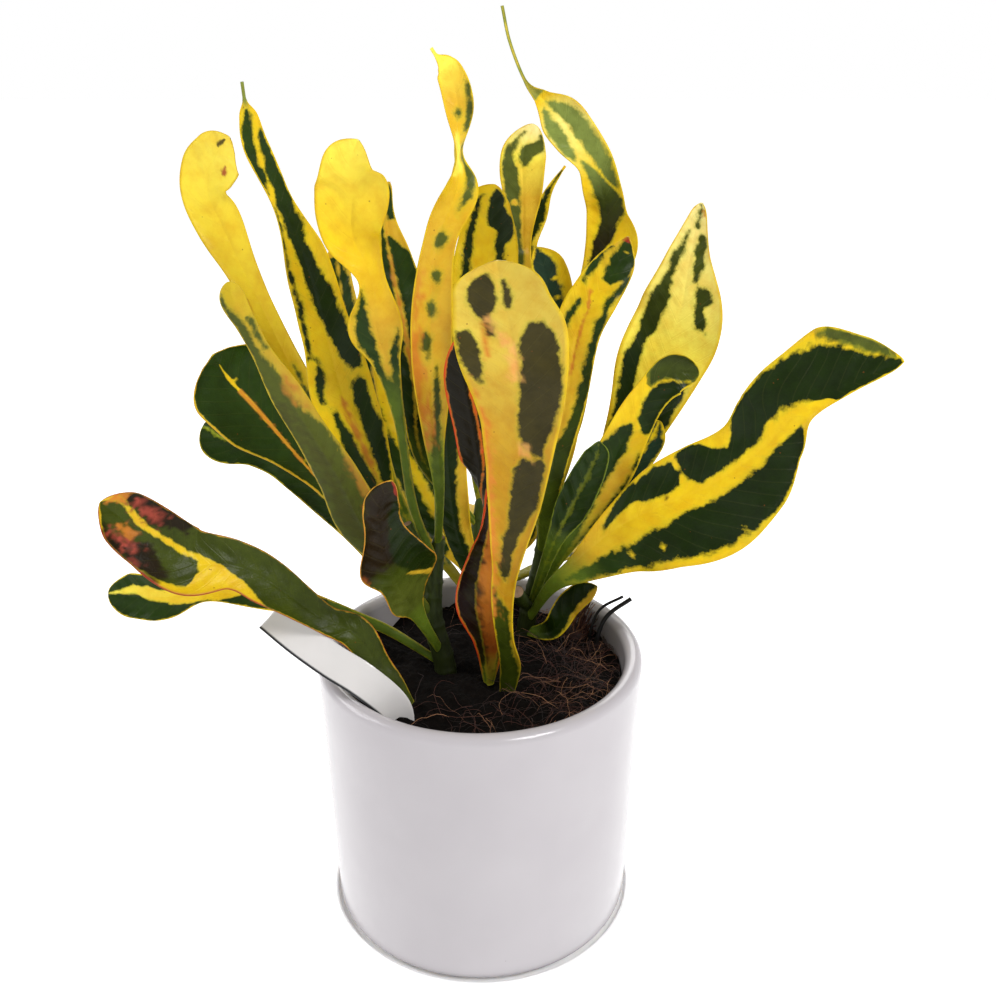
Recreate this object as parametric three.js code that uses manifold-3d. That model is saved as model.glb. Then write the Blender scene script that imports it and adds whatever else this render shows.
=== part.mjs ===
// Potted croton: a white glazed pot on a thin saucer, soil, stems and twisted yellow-green leaves.
// Millimetres, +Z up, origin in the middle of the saucer's flat underside, +Y away from the viewer.
import * as THREE from 'three';
import { mergeVertices } from 'three/addons/utils/BufferGeometryUtils.js';
import Module from 'manifold-3d';

// Pot and saucer
const rimRadius = 65;
const footRadius = 62;
const potHeight = 116;
const wallAtRim = 7;
const potFloor = 7;
const drainRadius = 8;
const footRound = 4.5;
const floorRound = 6;
const roundSides = 56;
const saucerRadius = 64.5;
const saucerHeight = 5;
const saucerWall = 1.6;
const saucerFloor = 2.7;
const saucerFootRound = 1.5;

// Clearance between pieces that touch
const gap = 0.3;

// Soil
const soilBelowRim = 12;
const soilUnevenness = 1.5;
const soilLumps = { x: 0.21, y: 0.17, smallX: 0.3, smallY: 0.4, small: 0.5 };
const soilRings = 5;
const soilSides = 32;

// Leaves
const bladeThickness = 0.8;
const stalkThickness = 2.6;
const stalkHalf = 1.5;
const widestStalkHalf = 6;
const stationsPerSpan = 2;
const narrowest = 0.5;
const defaultFolds = 4;

// The viewpoint that the leaves and stems were measured from: above the front, looking at a point
// over the pot's middle
const eyeTilt = THREE.MathUtils.degToRad(23);
const eyeDistance = 420;
const lookedAt = new THREE.Vector3(7.7, 0, 183);

// Stems, with a pruned side shoot and a cut twig: rows are x, y, z, radius
const stems = {
  stem_left: [
    [-13, 3, 92, 4.6], [-15, 3, 110, 4.4], [-19, 4, 130, 3.9], [-18, 6, 148, 3.2],
    [-16, 7, 164, 2.4],
  ],
  stem_right: [
    [18, 30, 92, 4.2], [19, 30, 110, 4], [22, 28, 128, 3.6], [25, 27, 146, 3],
    [26, 27, 162, 2.2],
  ],
  stem_middle: [
    [0, 29, 92, 4], [0, 30, 110, 3.8], [-2, 33, 130, 3.4], [-2, 36, 150, 2.8],
    [0, 38, 168, 2],
  ],
};
const stub = [[21, 29, 122, 3], [17, 22, 128, 3], [15, 16, 135, 2.8]];
const cutTwig = [[-19, 4, 140, 2], [-24, 3, 160, 2], [-28, 2, 172, 1.9]];

// Leaves, named by their look and place: rows are across, up, back, half, turn, cup, and a leaf from
// a stem grows from the stem's axis at the given place along it
const leaves = {
  leaf_hook_left: {
    from: ['stem_left', 2.35],
    rows: [
      [-44, -14, 14, 2, -10, 10], [-61, 17, 22, 4.1, -11, 20], [-76, 44, 28, 5.6, -12, 20],
      [-92, 76, 34, 5.4, -14, 20], [-106, 105, 38, [9.3, 8.7], -15, 15],
      [-111, 117, 38, [9.9, 7.3], -16, 12], [-110, 126, 36, [10.5, 10.5], -18, 12],
      [-107, 133, 33, [7.9, 11.6], -19, 12], [-103, 138, 30, [5.9, 8.5], -20, 12],
    ],
  },
  leaf_tall_left: {
    from: ['stem_left', 2.7],
    rows: [
      [-38, -16, 9, 2.6, 15, 5], [-46, 6, 10, 6.2, 16, 10], [-58, 34, 8, 12.5, 17, 12],
      [-66, 62, 6, 10, 17, 12], [-74, 90, 3, 8.2, 18, 15], [-83, 113, 0, 4.5, 29, 20],
      [-93, 134, -2, 4.5, 20, 20], [-96, 146, -4, 3.4, 20, 20], [-97, 152, -5, 0.7, 21, 5],
      [-98, 159, -6, 0.5, 22, 5],
    ],
  },
  leaf_flame: {
    from: ['stem_left', 3.3],
    rows: [
      [-33, -2, 0, 1.8, -8, 0], [-38, 30, -4, 2, -8, 0], [-43, 52, -8, 5.1, -9, 10],
      [-47, 66, -12, 9.6, -10, 15], [-49, 84, -15, 5.1, 30, 10], [-56, 101, -18, 9.6, -10, 10],
      [-56, 118, -22, 12.2, -11, 10], [-57, 128, -25, 8.7, -12, 10], [-54, 137, -27, 6.1, -12, 10],
    ],
  },
  leaf_dark_behind_flame: {
    from: ['stem_middle', 3.3],
    rows: [
      [-29, 15, 28, 3, 10, 10], [-32, 44, 34, 7.2, 13, 15], [-36, 70, 40, 9.9, 16, 15],
      [-40, 92, 44, 6.3, 19, 15], [-43, 108, 46, 3.2, 22, 15], [-42, 121, 46, 2.2, 25, 15],
    ],
  },
  leaf_small_dark_left: {
    from: ['stem_left', 3.0],
    rows: [
      [-42, 8, 20, 3.1, -15, 10], [-52, 42, 26, 6.3, -18, 15], [-58, 66, 31, 7.4, -20, 15],
      [-61, 84, 35, 5.4, -22, 15], [-63, 97, 38, 4.4, -25, 15],
    ],
  },
  leaf_spotted_tall: {
    from: ['stem_left', 3.75],
    rows: [
      [-23, 3, -2, 2, 8, 0], [-25, 24, -7, 4, 9, 15], [-26, 49, -11, 7.1, 9, 20],
      [-26, 76, -14, 7.1, 10, 20], [-23, 100, -15, 5.9, 21, 20], [-16, 119, -15, 7.1, 41, 10],
      [-16, 134, -14, 4.6, 72, 5], [-16, 152, -13, 4.9, 12, 10], [-19, 162, -14, 4.6, 13, 10],
      [-21, 166, -15, 3.1, 14, 5], [-24, 169, -16, 0.7, 14, 5], [-26, 172, -16, 0.5, 15, 5],
    ],
  },
  leaf_olive_hook: {
    from: ['stem_left', 2.0],
    rows: [
      [-38, -28, -8, 3, 180, 5], [-52, -10, -18, 8.5, 180, 20], [-61, 8, -26, 7.5, 180, 25],
      [-71, 24, -33, 6, 180, 25], [-81, 40, -38, 5.5, 180, 25], [-90, 55, -41, 3.4, 180, 20],
      [-96, 66, -43, 3.4, 180, 20], [-101, 75, -44, 4.2, 180, 20], [-103, 83, -43, 4, 180, 10],
    ],
  },
  leaf_round_left: {
    from: ['stem_left', 1.7],
    rows: [
      [-48, -16, 6, [2.5, 3.1], 15, 5], [-66, 4, 2, [3.5, 6.2], 16, 10],
      [-80, 20, -4, [9, 10.4], 16, 15], [-92, 34, -10, [16.5, 15.7], 17, 15],
      [-103, 46, -16, [17.3, 15.7], 17, 10], [-109, 55, -22, 13.7, 18, 5],
    ],
  },
  leaf_wavy_low_left: {
    from: ['stem_left', 1.4],
    rows: [
      [-46, -24, 16, 3.1, -15, 5], [-60, -6, 20, 6.2, -16, 10], [-76, 9, 24, 6.8, -17, 10],
      [-92, 19, 28, 6.8, -18, 10], [-105, 23, 30, 9, -19, 10], [-113, 28, 32, 8.5, -20, 10],
    ],
  },
  leaf_over_rim: {
    rows: [
      [-34, -78, -27, 2, 10, 0], [-40, -70, -26, 3.6, 10, 5], [-47, -62, -25, 5.1, 11, 10],
      [-55, -51, -24, 6.6, 11, 15], [-68, -45, -23, 5.6, 12, 15], [-88, -31, -24, [10, 8.2], 12, 15],
      [-102, -25, -27, 9.2, 12, 10], [-119, -24, -31, 12.8, 13, 10],
      [-134, -14, -34, 11.8, 13, 10], [-144, -7, -36, 10.3, 14, 10], [-152, -1, -38, 7.2, 14, 10],
    ],
  },
  leaf_under_rim_leaf: {
    from: ['stem_left', 0.9],
    rows: [
      [-40, -51, 6, 2, -10, 0], [-54, -45, 9, 2.5, -11, 5], [-72, -40, 12, [4.1, 5.1], -11, 10],
      [-88, -38, 15, [4.6, 7.2], -12, 10], [-111, -35, 18, [4.1, 8.2], -12, 10],
      [-127, -37, 20, [9.2, 9.2], -13, 10], [-139, -37, 22, [8.7, 10.3], -13, 10],
      [-149, -36, 24, 7.2, -14, 10],
    ],
  },
  leaf_small_brown: {
    from: ['stem_left', 1.15],
    rows: [
      [-31, -44, -12, 3.1, 12, 5], [-36, -37, -20, [8, 10], 13, 15],
      [-40, -30, -27, [7.5, 17], 14, 25], [-43, -22, -32, [12.5, 15], 16, 25],
      [-45, -11, -36, [8.5, 8], 22, 25], [-45, -1, -40, [6.8, 6.3], 22, 20],
      [-41, 7, -42, [4.8, 4.3], 18, 10],
    ],
  },
  leaf_front: {
    folds: 6,
    rows: [
      [2, -73, -14, [2, 4], -6, 5], [3, -62, -17, [3, 5.5], -7, 10],
      [3, -52, -20, [4.5, 2.5], -7, 20], [2, -38, -25, [5, 3.5], -8, 20],
      [4, -23, -30, [6.6, 4.5], -8, 20], [6, 0, -35, 9.6, -9, 15], [8, 23, -41, 12.2, -10, 12],
      [7, 46, -47, 16.2, -10, 10], [4, 65, -52, 17.8, -11, 10],
      [1, 80, -56, [15.3, 14.3], -11, 10], [-1, 91, -58, 14.3, -12, 10],
    ],
  },
  leaf_red_edged: {
    rows: [
      [-4, -70, -8, 2, 0, 0], [-4, -54, -11, 6, 0, 15], [-4, -38, -13, [13, 9], 0, 20],
      [-3, -19, -14, 8.5, 0, 20], [-4, -6, -15, 4.5, 40, 10], [-7, 4, -16, 4.5, 110, 10],
      [-8, 15, -18, 6.5, 180, 10], [-10, 28, -21, 7, 180, 15], [-14, 46, -24, 6.5, 180, 15],
      [-15.5, 62, -26, 4, 180, 15],
    ],
  },
  leaf_blotched_behind: {
    from: ['stem_middle', 3.85],
    rows: [
      [-8, 10, 38, 3, -10, 10], [-8, 45, 42, 8.2, -12, 10], [-6, 75, 46, 12.4, -15, 15],
      [-4, 97, 48, 12.5, -17, 15], [-3, 113, 48, 8.5, -20, 10], [-2, 120, 47, 6.5, -22, 10],
    ],
  },
  leaf_pale_behind: {
    from: ['stem_middle', 3.55],
    rows: [
      [9, 20, 46, 3, 10, 10], [9, 60, 54, 6.1, 12, 10], [9, 95, 60, 3.1, 15, 10],
      [9, 115, 62, [8.4, 7.1], 17, 15], [9, 131, 62, [10.1, 8.7], 20, 15],
      [13, 143, 61, 7.5, 22, 10],
    ],
  },
  leaf_narrow_behind: {
    from: ['stem_middle', 3.05],
    rows: [
      [7, 12, 54, 3, 0, 10], [10, 50, 64, 5, 0, 10], [10, 85, 72, 7, 0, 15], [9, 97, 75, 6, 0, 15],
      [15, 108, 75, 3.5, 0, 10], [19, 118, 74, 1.5, 0, 10], [25, 127, 73, 0.6, 0, 5],
    ],
  },
  leaf_dark_yellow_edge: {
    from: ['stem_right', 3.4],
    rows: [
      [14, 2, 36, 2.5, 10, 10], [14, 24, 38, 4.1, 12, 10], [17, 55, 37, 8.2, 14, 10],
      [19, 76, 36, [5.2, 9.4], 16, 10], [17, 88, 35, [5.3, 8.4], 18, 10],
      [14, 96, 34, 4.3, 20, 10],
    ],
  },
  leaf_dark_centre: {
    from: ['stem_middle', 2.3],
    rows: [
      [-12, -24, 24, 4.5, 10, 10], [-17, -8, 20, 6, 10, 10], [-20, 20, 18, 7.2, 12, 10],
      [-20, 45, 18, 6.2, 15, 10], [-21, 70, 18, 4.2, 18, 10], [-21, 84, 18, 3.2, 20, 10],
    ],
  },
  leaf_spiral: {
    from: ['stem_right', 3.85],
    rows: [
      [25, 20, 24, 4, 0, 10], [30, 60, 25, 6, 0, 15], [39.5, 85, 25, 8.5, -10, 15],
      [42, 98, 24, [8.5, 11.5], -20, 15], [41, 109, 23, [7.5, 8.5], -24, 20],
      [39, 118, 21, 7, 0, 20], [35, 129, 19, 7, 20, 20], [28, 139, 16, 8, 10, 20],
      [22, 147, 13, 7.5, 0, 20], [16, 153, 11, 3, 0, 15], [10, 159, 9, 0.6, 0, 5],
      [4, 174, 6, 0.5, 0, 5], [1, 188, 4, 0.5, 0, 5],
    ],
  },
  leaf_red_tipped: {
    from: ['stem_right', 3.0],
    rows: [
      [20, 10, 9, 5, -8, 10], [26, 40, 7, 7.6, -9, 10], [30, 64, 5, 8.6, -10, 10],
      [37, 78, 3, 8.7, -12, 10], [45, 90, 2, 7.2, -13, 10], [49, 100, 1, 3.1, -14, 10],
    ],
  },
  leaf_yellow_right: {
    from: ['stem_right', 2.75],
    rows: [
      [35, -4, 34, 3.1, -12, 10], [50, 24, 38, 11.3, -14, 10], [61, 50, 42, 17.7, -16, 10],
      [69, 72, 44, [16.8, 18.9], -18, 10], [73, 94, 45, 8.5, -20, 10], [76, 108, 45, 3.8, -22, 10],
      [77, 113, 45, 2.2, -24, 10],
    ],
  },
  leaf_curled_tip: {
    from: ['stem_right', 1.9],
    rows: [
      [27, -16, 12, 3, 10, 10], [40, 8, 14, 8.7, 11, 15], [50, 28, 16, 8.2, 12, 15],
      [58, 41, 18, 7.2, 22, 20], [66, 48, 19, 8.2, 13, 25], [76, 48, 19, 6.2, 14, 20],
    ],
  },
  leaf_dark_right: {
    from: ['stem_right', 2.2],
    rows: [
      [36, -5, 19, 2.5, 0, 10], [48, 10, 24, 6, 0, 10], [57, 22, 28, 6, 0, 10],
      [61, 30, 30, 4, 0, 10],
    ],
  },
  leaf_big_right: {
    from: ['stem_right', 1.2],
    folds: 6,
    rows: [
      [20, -33, 10, 2.8, -6, 5], [29, -24, 5, [3, 9.1], -7, 10], [45, -11, 0, [8.1, 19.1], -7, 10],
      [61, -3, -5, [15.1, 24.2], -8, 8], [78, 4, -9, [17.2, 26.3], -8, 5],
      [95, 15, -13, [15.2, 21.3], -9, 5], [106, 25, -16, [18.3, 12.2], -10, 10],
      [115, 35, -18, [19.3, 6.1], -10, 10], [132, 43, -21, [22.4, 3.1], -11, 10],
      [145, 49, -23, [13.2, 2.5], -11, 10], [154, 53, -24, [5.1, 2], -12, 10],
    ],
  },
  leaf_below_big: {
    from: ['stem_right', 0.9],
    rows: [
      [20, -50, 14, [5, 3.5], 0, 10], [27, -41, 12, [6.5, 4], 0, 10],
      [33, -36, 11, [6, 3.5], 0, 10], [37, -33, 10, [4, 2.5], 0, 10],
    ],
  },
  leaf_green_centre: {
    from: ['stem_right', 1.55],
    rows: [
      [20, -18, 7, 3, 0, 10], [27, -4, 6, 6.5, 0, 15], [33, 8, 4, 6.5, 0, 15],
      [37, 17, 2, 5, 0, 15], [38, 22, 1, 3, 0, 15],
    ],
  },
  leaf_back_left: {
    from: ['stem_middle', 2.1],
    rows: [
      [-22, -10, 42, 8, 0, 10], [-34, 14, 52, 10, 0, 10], [-42, 36, 62, 11, 0, 15],
      [-50, 52, 72, 11, 0, 15], [-58, 70, 78, 7, 0, 15],
    ],
  },
  leaf_back_middle: {
    from: ['stem_middle', 2.75],
    rows: [
      [0, 10, 56, 4, 0, 10], [4, 40, 70, 10, 0, 15], [6, 68, 80, 12, 0, 15], [6, 88, 86, 8, 0, 15],
    ],
  },
  leaf_back_right: {
    from: ['stem_middle', 2.45],
    rows: [
      [8, -14, 46, 6, 0, 10], [15, 8, 56, 8, 0, 10], [24, 32, 66, 9, 0, 15],
      [28, 60, 76, 9, 0, 15], [29, 78, 82, 6, 0, 15],
    ],
  },
  leaf_back_low: {
    skyward: true,
    from: ['stem_middle', 1.2],
    rows: [
      [-8, -20, 58, 4, 0, 10], [-10, -8, 78, 11, 0, 15], [-10, -2, 96, 13, 0, 15],
      [-9, -6, 112, 9, 0, 15],
    ],
  },
  leaf_back_low_left: {
    skyward: true,
    from: ['stem_middle', 1.5],
    rows: [
      [-28, -16, 52, 4, 0, 10], [-45, 0, 70, 9, 0, 15], [-55, 7, 88, 9, 0, 15],
      [-61, 7, 102, 6, 0, 15],
    ],
  },
  leaf_back_low_right: {
    skyward: true,
    from: ['stem_middle', 1.8],
    rows: [
      [24, -22, 50, 4, 0, 10], [38, -12, 64, 9, 0, 15], [50, -8, 78, 9, 0, 15],
      [59, -12, 90, 6, 0, 15],
    ],
  },
};

// Plant label: a plain strip of plastic that stands in the soil and leans out over the rim
const label = {
  square: true,
  rows: [
    [-36, -88, -37, 4, 0, 12], [-40, -79, -37, 6, 0, 12], [-52, -69, -37, 6.5, 0, 12],
    [-64, -61.5, -33, 6.5, 0, 12], [-76, -53, -25, 6.5, 0, 12], [-87, -44, -17, 6.5, 0, 12],
  ],
};

// Two cut ends of black wire: rows are x, y, z, radius
const wires = {
  wire_thin: [[45, 22, 98, 0.6], [46.5, 23, 113, 0.6], [50.5, 26, 121.5, 0.6], [60, 27, 127, 0.6]],
  wire_thick: [[48, 17.5, 98, 0.9], [49, 18.5, 112, 0.9], [53, 21, 121, 0.9], [63, 24, 127.5, 0.9]],
};

// Matted fine roots that stand up at the right of the soil: a root ball sunk in it and strands that
// rise from the ball, each a little further round and further out, and lean over to the right
const rootBall = [[41, 30, 98, 5], [41, 30, 112, 4]];
const strands = {
  count: 9, turn: 137.5, spread: 3.2, start: 108, rise: 23, lean: 2.5, over: 3.5, radius: 0.7,
};

const wasm = await Module();
wasm.setup();

// A closed geometry as a solid for joining and cutting
function solid(geometry) {
  const plain = new THREE.BufferGeometry();
  plain.setAttribute('position', geometry.getAttribute('position'));
  plain.setIndex(geometry.index);
  const merged = mergeVertices(plain, 1e-4);
  return new wasm.Manifold(new wasm.Mesh({
    numProp: 3,
    vertProperties: new Float32Array(merged.getAttribute('position').array),
    triVerts: new Uint32Array(merged.index.array),
  }));
}

// A solid back as a geometry
function shape(body) {
  const mesh = body.getMesh();
  const geometry = new THREE.BufferGeometry();
  geometry.setAttribute('position', new THREE.BufferAttribute(mesh.vertProperties, 3));
  geometry.setIndex(new THREE.BufferAttribute(mesh.triVerts, 1));
  return geometry;
}

// A geometry from a list of points and a list of triangles
function meshOf(points, triangles) {
  const geometry = new THREE.BufferGeometry();
  const values = points.flatMap((p) => [p.x, p.y, p.z]);
  geometry.setAttribute('position', new THREE.Float32BufferAttribute(values, 3));
  geometry.setIndex(triangles);
  return geometry;
}

// A body turned round the vertical axis from a profile of [radius, height] points
function turned(profile, sides = roundSides) {
  const points = profile.map(([radius, height]) => new THREE.Vector2(radius, height));
  const body = new THREE.LatheGeometry(points, sides);
  body.rotateX(Math.PI / 2);
  return body;
}

// Points of a quarter round from one angle to another, in degrees
function arc(radius, centreRadius, centreHeight, from, to, steps) {
  const points = [];
  for (let i = 0; i <= steps; i += 1) {
    const angle = THREE.MathUtils.degToRad(from + ((to - from) * i) / steps);
    points.push([centreRadius + radius * Math.cos(angle), centreHeight + radius * Math.sin(angle)]);
  }
  return points;
}

const eye = lookedAt.clone().add(
  new THREE.Vector3(0, -Math.cos(eyeTilt), Math.sin(eyeTilt)).multiplyScalar(eyeDistance),
);

// The point seen at so many mm across and up in the plane of the looked-at point, carried along its
// sight line to a depth behind the pot's axis
function seen(across, up, back) {
  const sight = new THREE.Vector3(
    across,
    up * Math.sin(eyeTilt) + eyeDistance * Math.cos(eyeTilt),
    up * Math.cos(eyeTilt) - eyeDistance * Math.sin(eyeTilt),
  );
  return eye.clone().addScaledVector(sight, (back - eye.y) / sight.y);
}

// A smooth curve through evenly keyed values: the value at place t, whole numbers being the keys
function through(values, t) {
  const last = values.length - 1;
  const i = Math.min(Math.floor(t), last - 1);
  const u = t - i;
  const b = values[i];
  const c = values[i + 1];
  const a = i > 0 ? values[i - 1] : 2 * b - c;
  const d = i + 1 < last ? values[i + 2] : 2 * c - b;
  const bend = 2 * a - 5 * b + 4 * c - d;
  const twist = 3 * b - a - 3 * c + d;
  return 0.5 * (2 * b + (c - a) * u + bend * u * u + twist * u * u * u);
}

// The smooth curve through points in space
function placeOn(points, t) {
  return new THREE.Vector3(
    through(points.map((p) => p.x), t),
    through(points.map((p) => p.y), t),
    through(points.map((p) => p.z), t),
  );
}

// The direction along that curve
function directionOn(points, t) {
  const step = 0.02;
  const ahead = placeOn(points, Math.min(t + step, points.length - 1));
  const behind = placeOn(points, Math.max(t - step, 0));
  return ahead.sub(behind).normalize();
}

// Where the cross-sections of a leaf stand: evenly on each span, closer together toward the tip
function stations(spans) {
  const places = [];
  for (let span = 0; span < spans; span += 1) {
    for (let k = 0; k < stationsPerSpan; k += 1) {
      const share = k / stationsPerSpan;
      places.push(span + (span === spans - 1 ? Math.sin((share * Math.PI) / 2) : share));
    }
  }
  places.push(spans);
  return places;
}

const stemLines = Object.fromEntries(
  Object.entries(stems).map(([name, rows]) => [name, rows.map(([x, y, z]) => new THREE.Vector3(x, y, z))]),
);

// One leaf, stalk and blade, as a thin closed body that grows from a point on a stem or in the soil.
// Each row of its midrib holds:
//   across, up, back   where the midrib runs, as seen
//   half               half the blade's width, or a pair where the left and right halves differ
//   turn               the face's turn about the midrib, in degrees, 0 facing the viewer or the sky
//   cup                the bend of each half toward the face, in degrees at the margin
// Over the last span the blade rounds off like the end of an ellipse, unless its end is cut square.
// A spare width makes the room that the body takes in what it stands in.
function leafBody({ from, rows, folds = defaultFolds, skyward = false, square = false, spare = 0 }) {
  const midrib = rows.map(([across, up, back]) => seen(across, up, back));
  const halves = [0, 1].map((i) => rows.map((row) => spare + (Array.isArray(row[3]) ? row[3][i] : row[3])));
  const turns = rows.map((row) => row[4]);
  const cups = rows.map((row) => row[5]);
  if (from) {
    const [stem, place] = from;
    midrib.unshift(placeOn(stemLines[stem], place));
    halves.forEach((values) => values.unshift(stalkHalf));
    turns.unshift(turns[0]);
    cups.unshift(0);
  }
  const spans = midrib.length - 1;
  const front = [];
  const rear = [];
  const places = stations(spans);
  for (const t of places) {
    const centre = placeOn(midrib, t);
    const along = directionOn(midrib, t);
    const toward = skyward ? new THREE.Vector3(0, 0, 1) : eye.clone().sub(centre);
    const facing = toward.addScaledVector(along, -toward.dot(along)).normalize();
    const turn = THREE.MathUtils.degToRad(through(turns, t));
    const sideways = new THREE.Vector3().crossVectors(along, facing);
    const face = facing.multiplyScalar(Math.cos(turn)).addScaledVector(sideways, Math.sin(turn));
    const side = new THREE.Vector3().crossVectors(along, face);
    const roundOff = Math.sqrt(Math.max(0, 1 - Math.max(0, t - (spans - 1)) ** 2));
    const half = halves.map((values) => Math.max(narrowest, through(values, t) * (square ? 1 : roundOff)));
    const cup = THREE.MathUtils.degToRad(Math.max(1, through(cups, t)));
    const isStalk = t < spans / 2 && !square;
    const stalk = isStalk ? THREE.MathUtils.clamp((widestStalkHalf - half[0]) / 4, 0, 1) : 0;
    const thickness = 2 * spare + THREE.MathUtils.lerp(bladeThickness, stalkThickness, stalk);
    for (let j = 0; j <= folds; j += 1) {
      const v = (2 * j) / folds - 1;
      const sign = Math.sign(v);
      const slope = cup * Math.abs(v);
      const reach = half[v > 0 ? 1 : 0];
      const out = (reach * Math.sin(slope)) / cup;
      const rise = (reach * (1 - Math.cos(slope))) / cup;
      const middle = centre.clone().addScaledVector(side, sign * out).addScaledVector(face, rise);
      const normal = face.clone().multiplyScalar(Math.cos(slope))
        .addScaledVector(side, -sign * Math.sin(slope));
      front.push(middle.clone().addScaledVector(normal, thickness / 2));
      rear.push(middle.clone().addScaledVector(normal, -thickness / 2));
    }
  }
  const row = folds + 1;
  const rearFrom = front.length;
  const triangles = [];
  const quad = (a, b, c, d) => triangles.push(a, b, c, a, c, d);
  for (let i = 0; i + 1 < places.length; i += 1) {
    for (let j = 0; j < folds; j += 1) {
      const a = i * row + j;
      quad(a, a + 1, a + row + 1, a + row);
      triangles.push(rearFrom + a, rearFrom + a + row + 1, rearFrom + a + 1);
      triangles.push(rearFrom + a, rearFrom + a + row, rearFrom + a + row + 1);
    }
    const left = i * row;
    const right = left + folds;
    quad(right, rearFrom + right, rearFrom + right + row, right + row);
    quad(left, left + row, rearFrom + left + row, rearFrom + left);
  }
  const end = (places.length - 1) * row;
  for (let j = 0; j < folds; j += 1) {
    quad(j, rearFrom + j, rearFrom + j + 1, j + 1);
    quad(end + j, end + j + 1, rearFrom + end + j + 1, rearFrom + end + j);
  }
  return meshOf([...front, ...rear], triangles);
}

// A round stem along points of [x, y, z, radius], its ends cut flat
function stemBody(rows, extra = 0, sides = 10, stepsPerSpan = 3) {
  const line = rows.map(([x, y, z]) => new THREE.Vector3(x, y, z));
  const radii = rows.map((row) => row[3] + extra);
  const points = [];
  const count = (rows.length - 1) * stepsPerSpan;
  for (let i = 0; i <= count; i += 1) {
    const t = i / stepsPerSpan;
    const centre = placeOn(line, t);
    const along = directionOn(line, t);
    const side = new THREE.Vector3(0, 1, 0).cross(along).normalize();
    const front = new THREE.Vector3().crossVectors(along, side);
    const radius = through(radii, t);
    for (let k = 0; k < sides; k += 1) {
      const angle = (2 * Math.PI * k) / sides;
      points.push(centre.clone()
        .addScaledVector(side, radius * Math.cos(angle))
        .addScaledVector(front, radius * Math.sin(angle)));
    }
  }
  const triangles = [];
  for (let i = 0; i < count; i += 1) {
    for (let k = 0; k < sides; k += 1) {
      const a = i * sides + k;
      const b = i * sides + ((k + 1) % sides);
      triangles.push(a, b, b + sides, a, b + sides, a + sides);
    }
  }
  const start = points.length;
  const finish = start + 1;
  points.push(placeOn(line, 0), placeOn(line, rows.length - 1));
  for (let k = 0; k < sides; k += 1) {
    const next = (k + 1) % sides;
    triangles.push(start, next, k);
    triangles.push(finish, count * sides + k, count * sides + next);
  }
  return meshOf(points, triangles);
}

const looks = {
  ceramic: { color: 0xeae8ee, roughness: 0.25, metalness: 0 },
  soil: { color: 0x1c1410, roughness: 1, metalness: 0 },
  root: { color: 0x5a3a28, roughness: 0.9, metalness: 0 },
  leaf: { color: 0x6d8a1c, roughness: 0.35, metalness: 0 },
  stem: { color: 0x6f8a35, roughness: 0.5, metalness: 0 },
  plastic: { color: 0xf4f4f2, roughness: 0.3, metalness: 0 },
  wire: { color: 0x141414, roughness: 0.5, metalness: 0 },
};

const group = new THREE.Group();

function addNode(name, geometry, look) {
  const mesh = new THREE.Mesh(geometry, new THREE.MeshStandardMaterial(looks[look]));
  mesh.name = name;
  group.add(mesh);
}

// Saucer: a thin dish with a low upright rim
addNode('saucer', turned([
  [0, 0], [saucerRadius - saucerFootRound, 0], [saucerRadius, saucerFootRound],
  ...arc(saucerWall / 2, saucerRadius - saucerWall / 2, saucerHeight - saucerWall / 2, 0, 180, 2),
  [saucerRadius - saucerWall, saucerFloor], [0, saucerFloor],
]), 'ceramic');

// Pot: a round wall with a rolled rim, a rounded foot and a drain hole
const potBase = saucerFloor + gap;
const lip = wallAtRim / 2;
const rimTop = potBase + potHeight;
const wallAtFloor = footRadius - wallAtRim - 2;
const floorTop = potBase + potFloor;
addNode('pot', turned([
  [drainRadius, potBase], [footRadius - footRound, potBase],
  ...arc(footRound, footRadius - footRound, potBase + footRound, -60, 0, 3),
  ...arc(lip, rimRadius - lip, rimTop - lip, 0, 180, 6),
  [wallAtFloor, floorTop + floorRound], [wallAtFloor - floorRound, floorTop],
  [drainRadius, floorTop], [drainRadius, potBase],
]), 'ceramic');

// Leaves, cut back to the stems that they grow from
const stemBodies = Object.fromEntries(
  Object.entries(stems).map(([name, rows]) => [name, solid(stemBody(rows))]),
);
stemBodies.stem_right = stemBodies.stem_right.add(solid(stemBody(stub)));
stemBodies.stem_left = stemBodies.stem_left.add(solid(stemBody(cutTwig, 0, 8)));
const stemRooms = Object.fromEntries(
  Object.entries(stems).map(([name, rows]) => [name, solid(stemBody(rows, gap))]),
);
stemRooms.stem_right = stemRooms.stem_right.add(solid(stemBody(stub, gap)));
stemRooms.stem_left = stemRooms.stem_left.add(solid(stemBody(cutTwig, gap, 8)));
const leafShapes = Object.fromEntries(Object.entries(leaves).map(([name, leaf]) => {
  const whole = solid(leafBody(leaf));
  return [name, leaf.from ? whole.subtract(stemRooms[leaf.from[0]]) : whole];
}));

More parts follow.
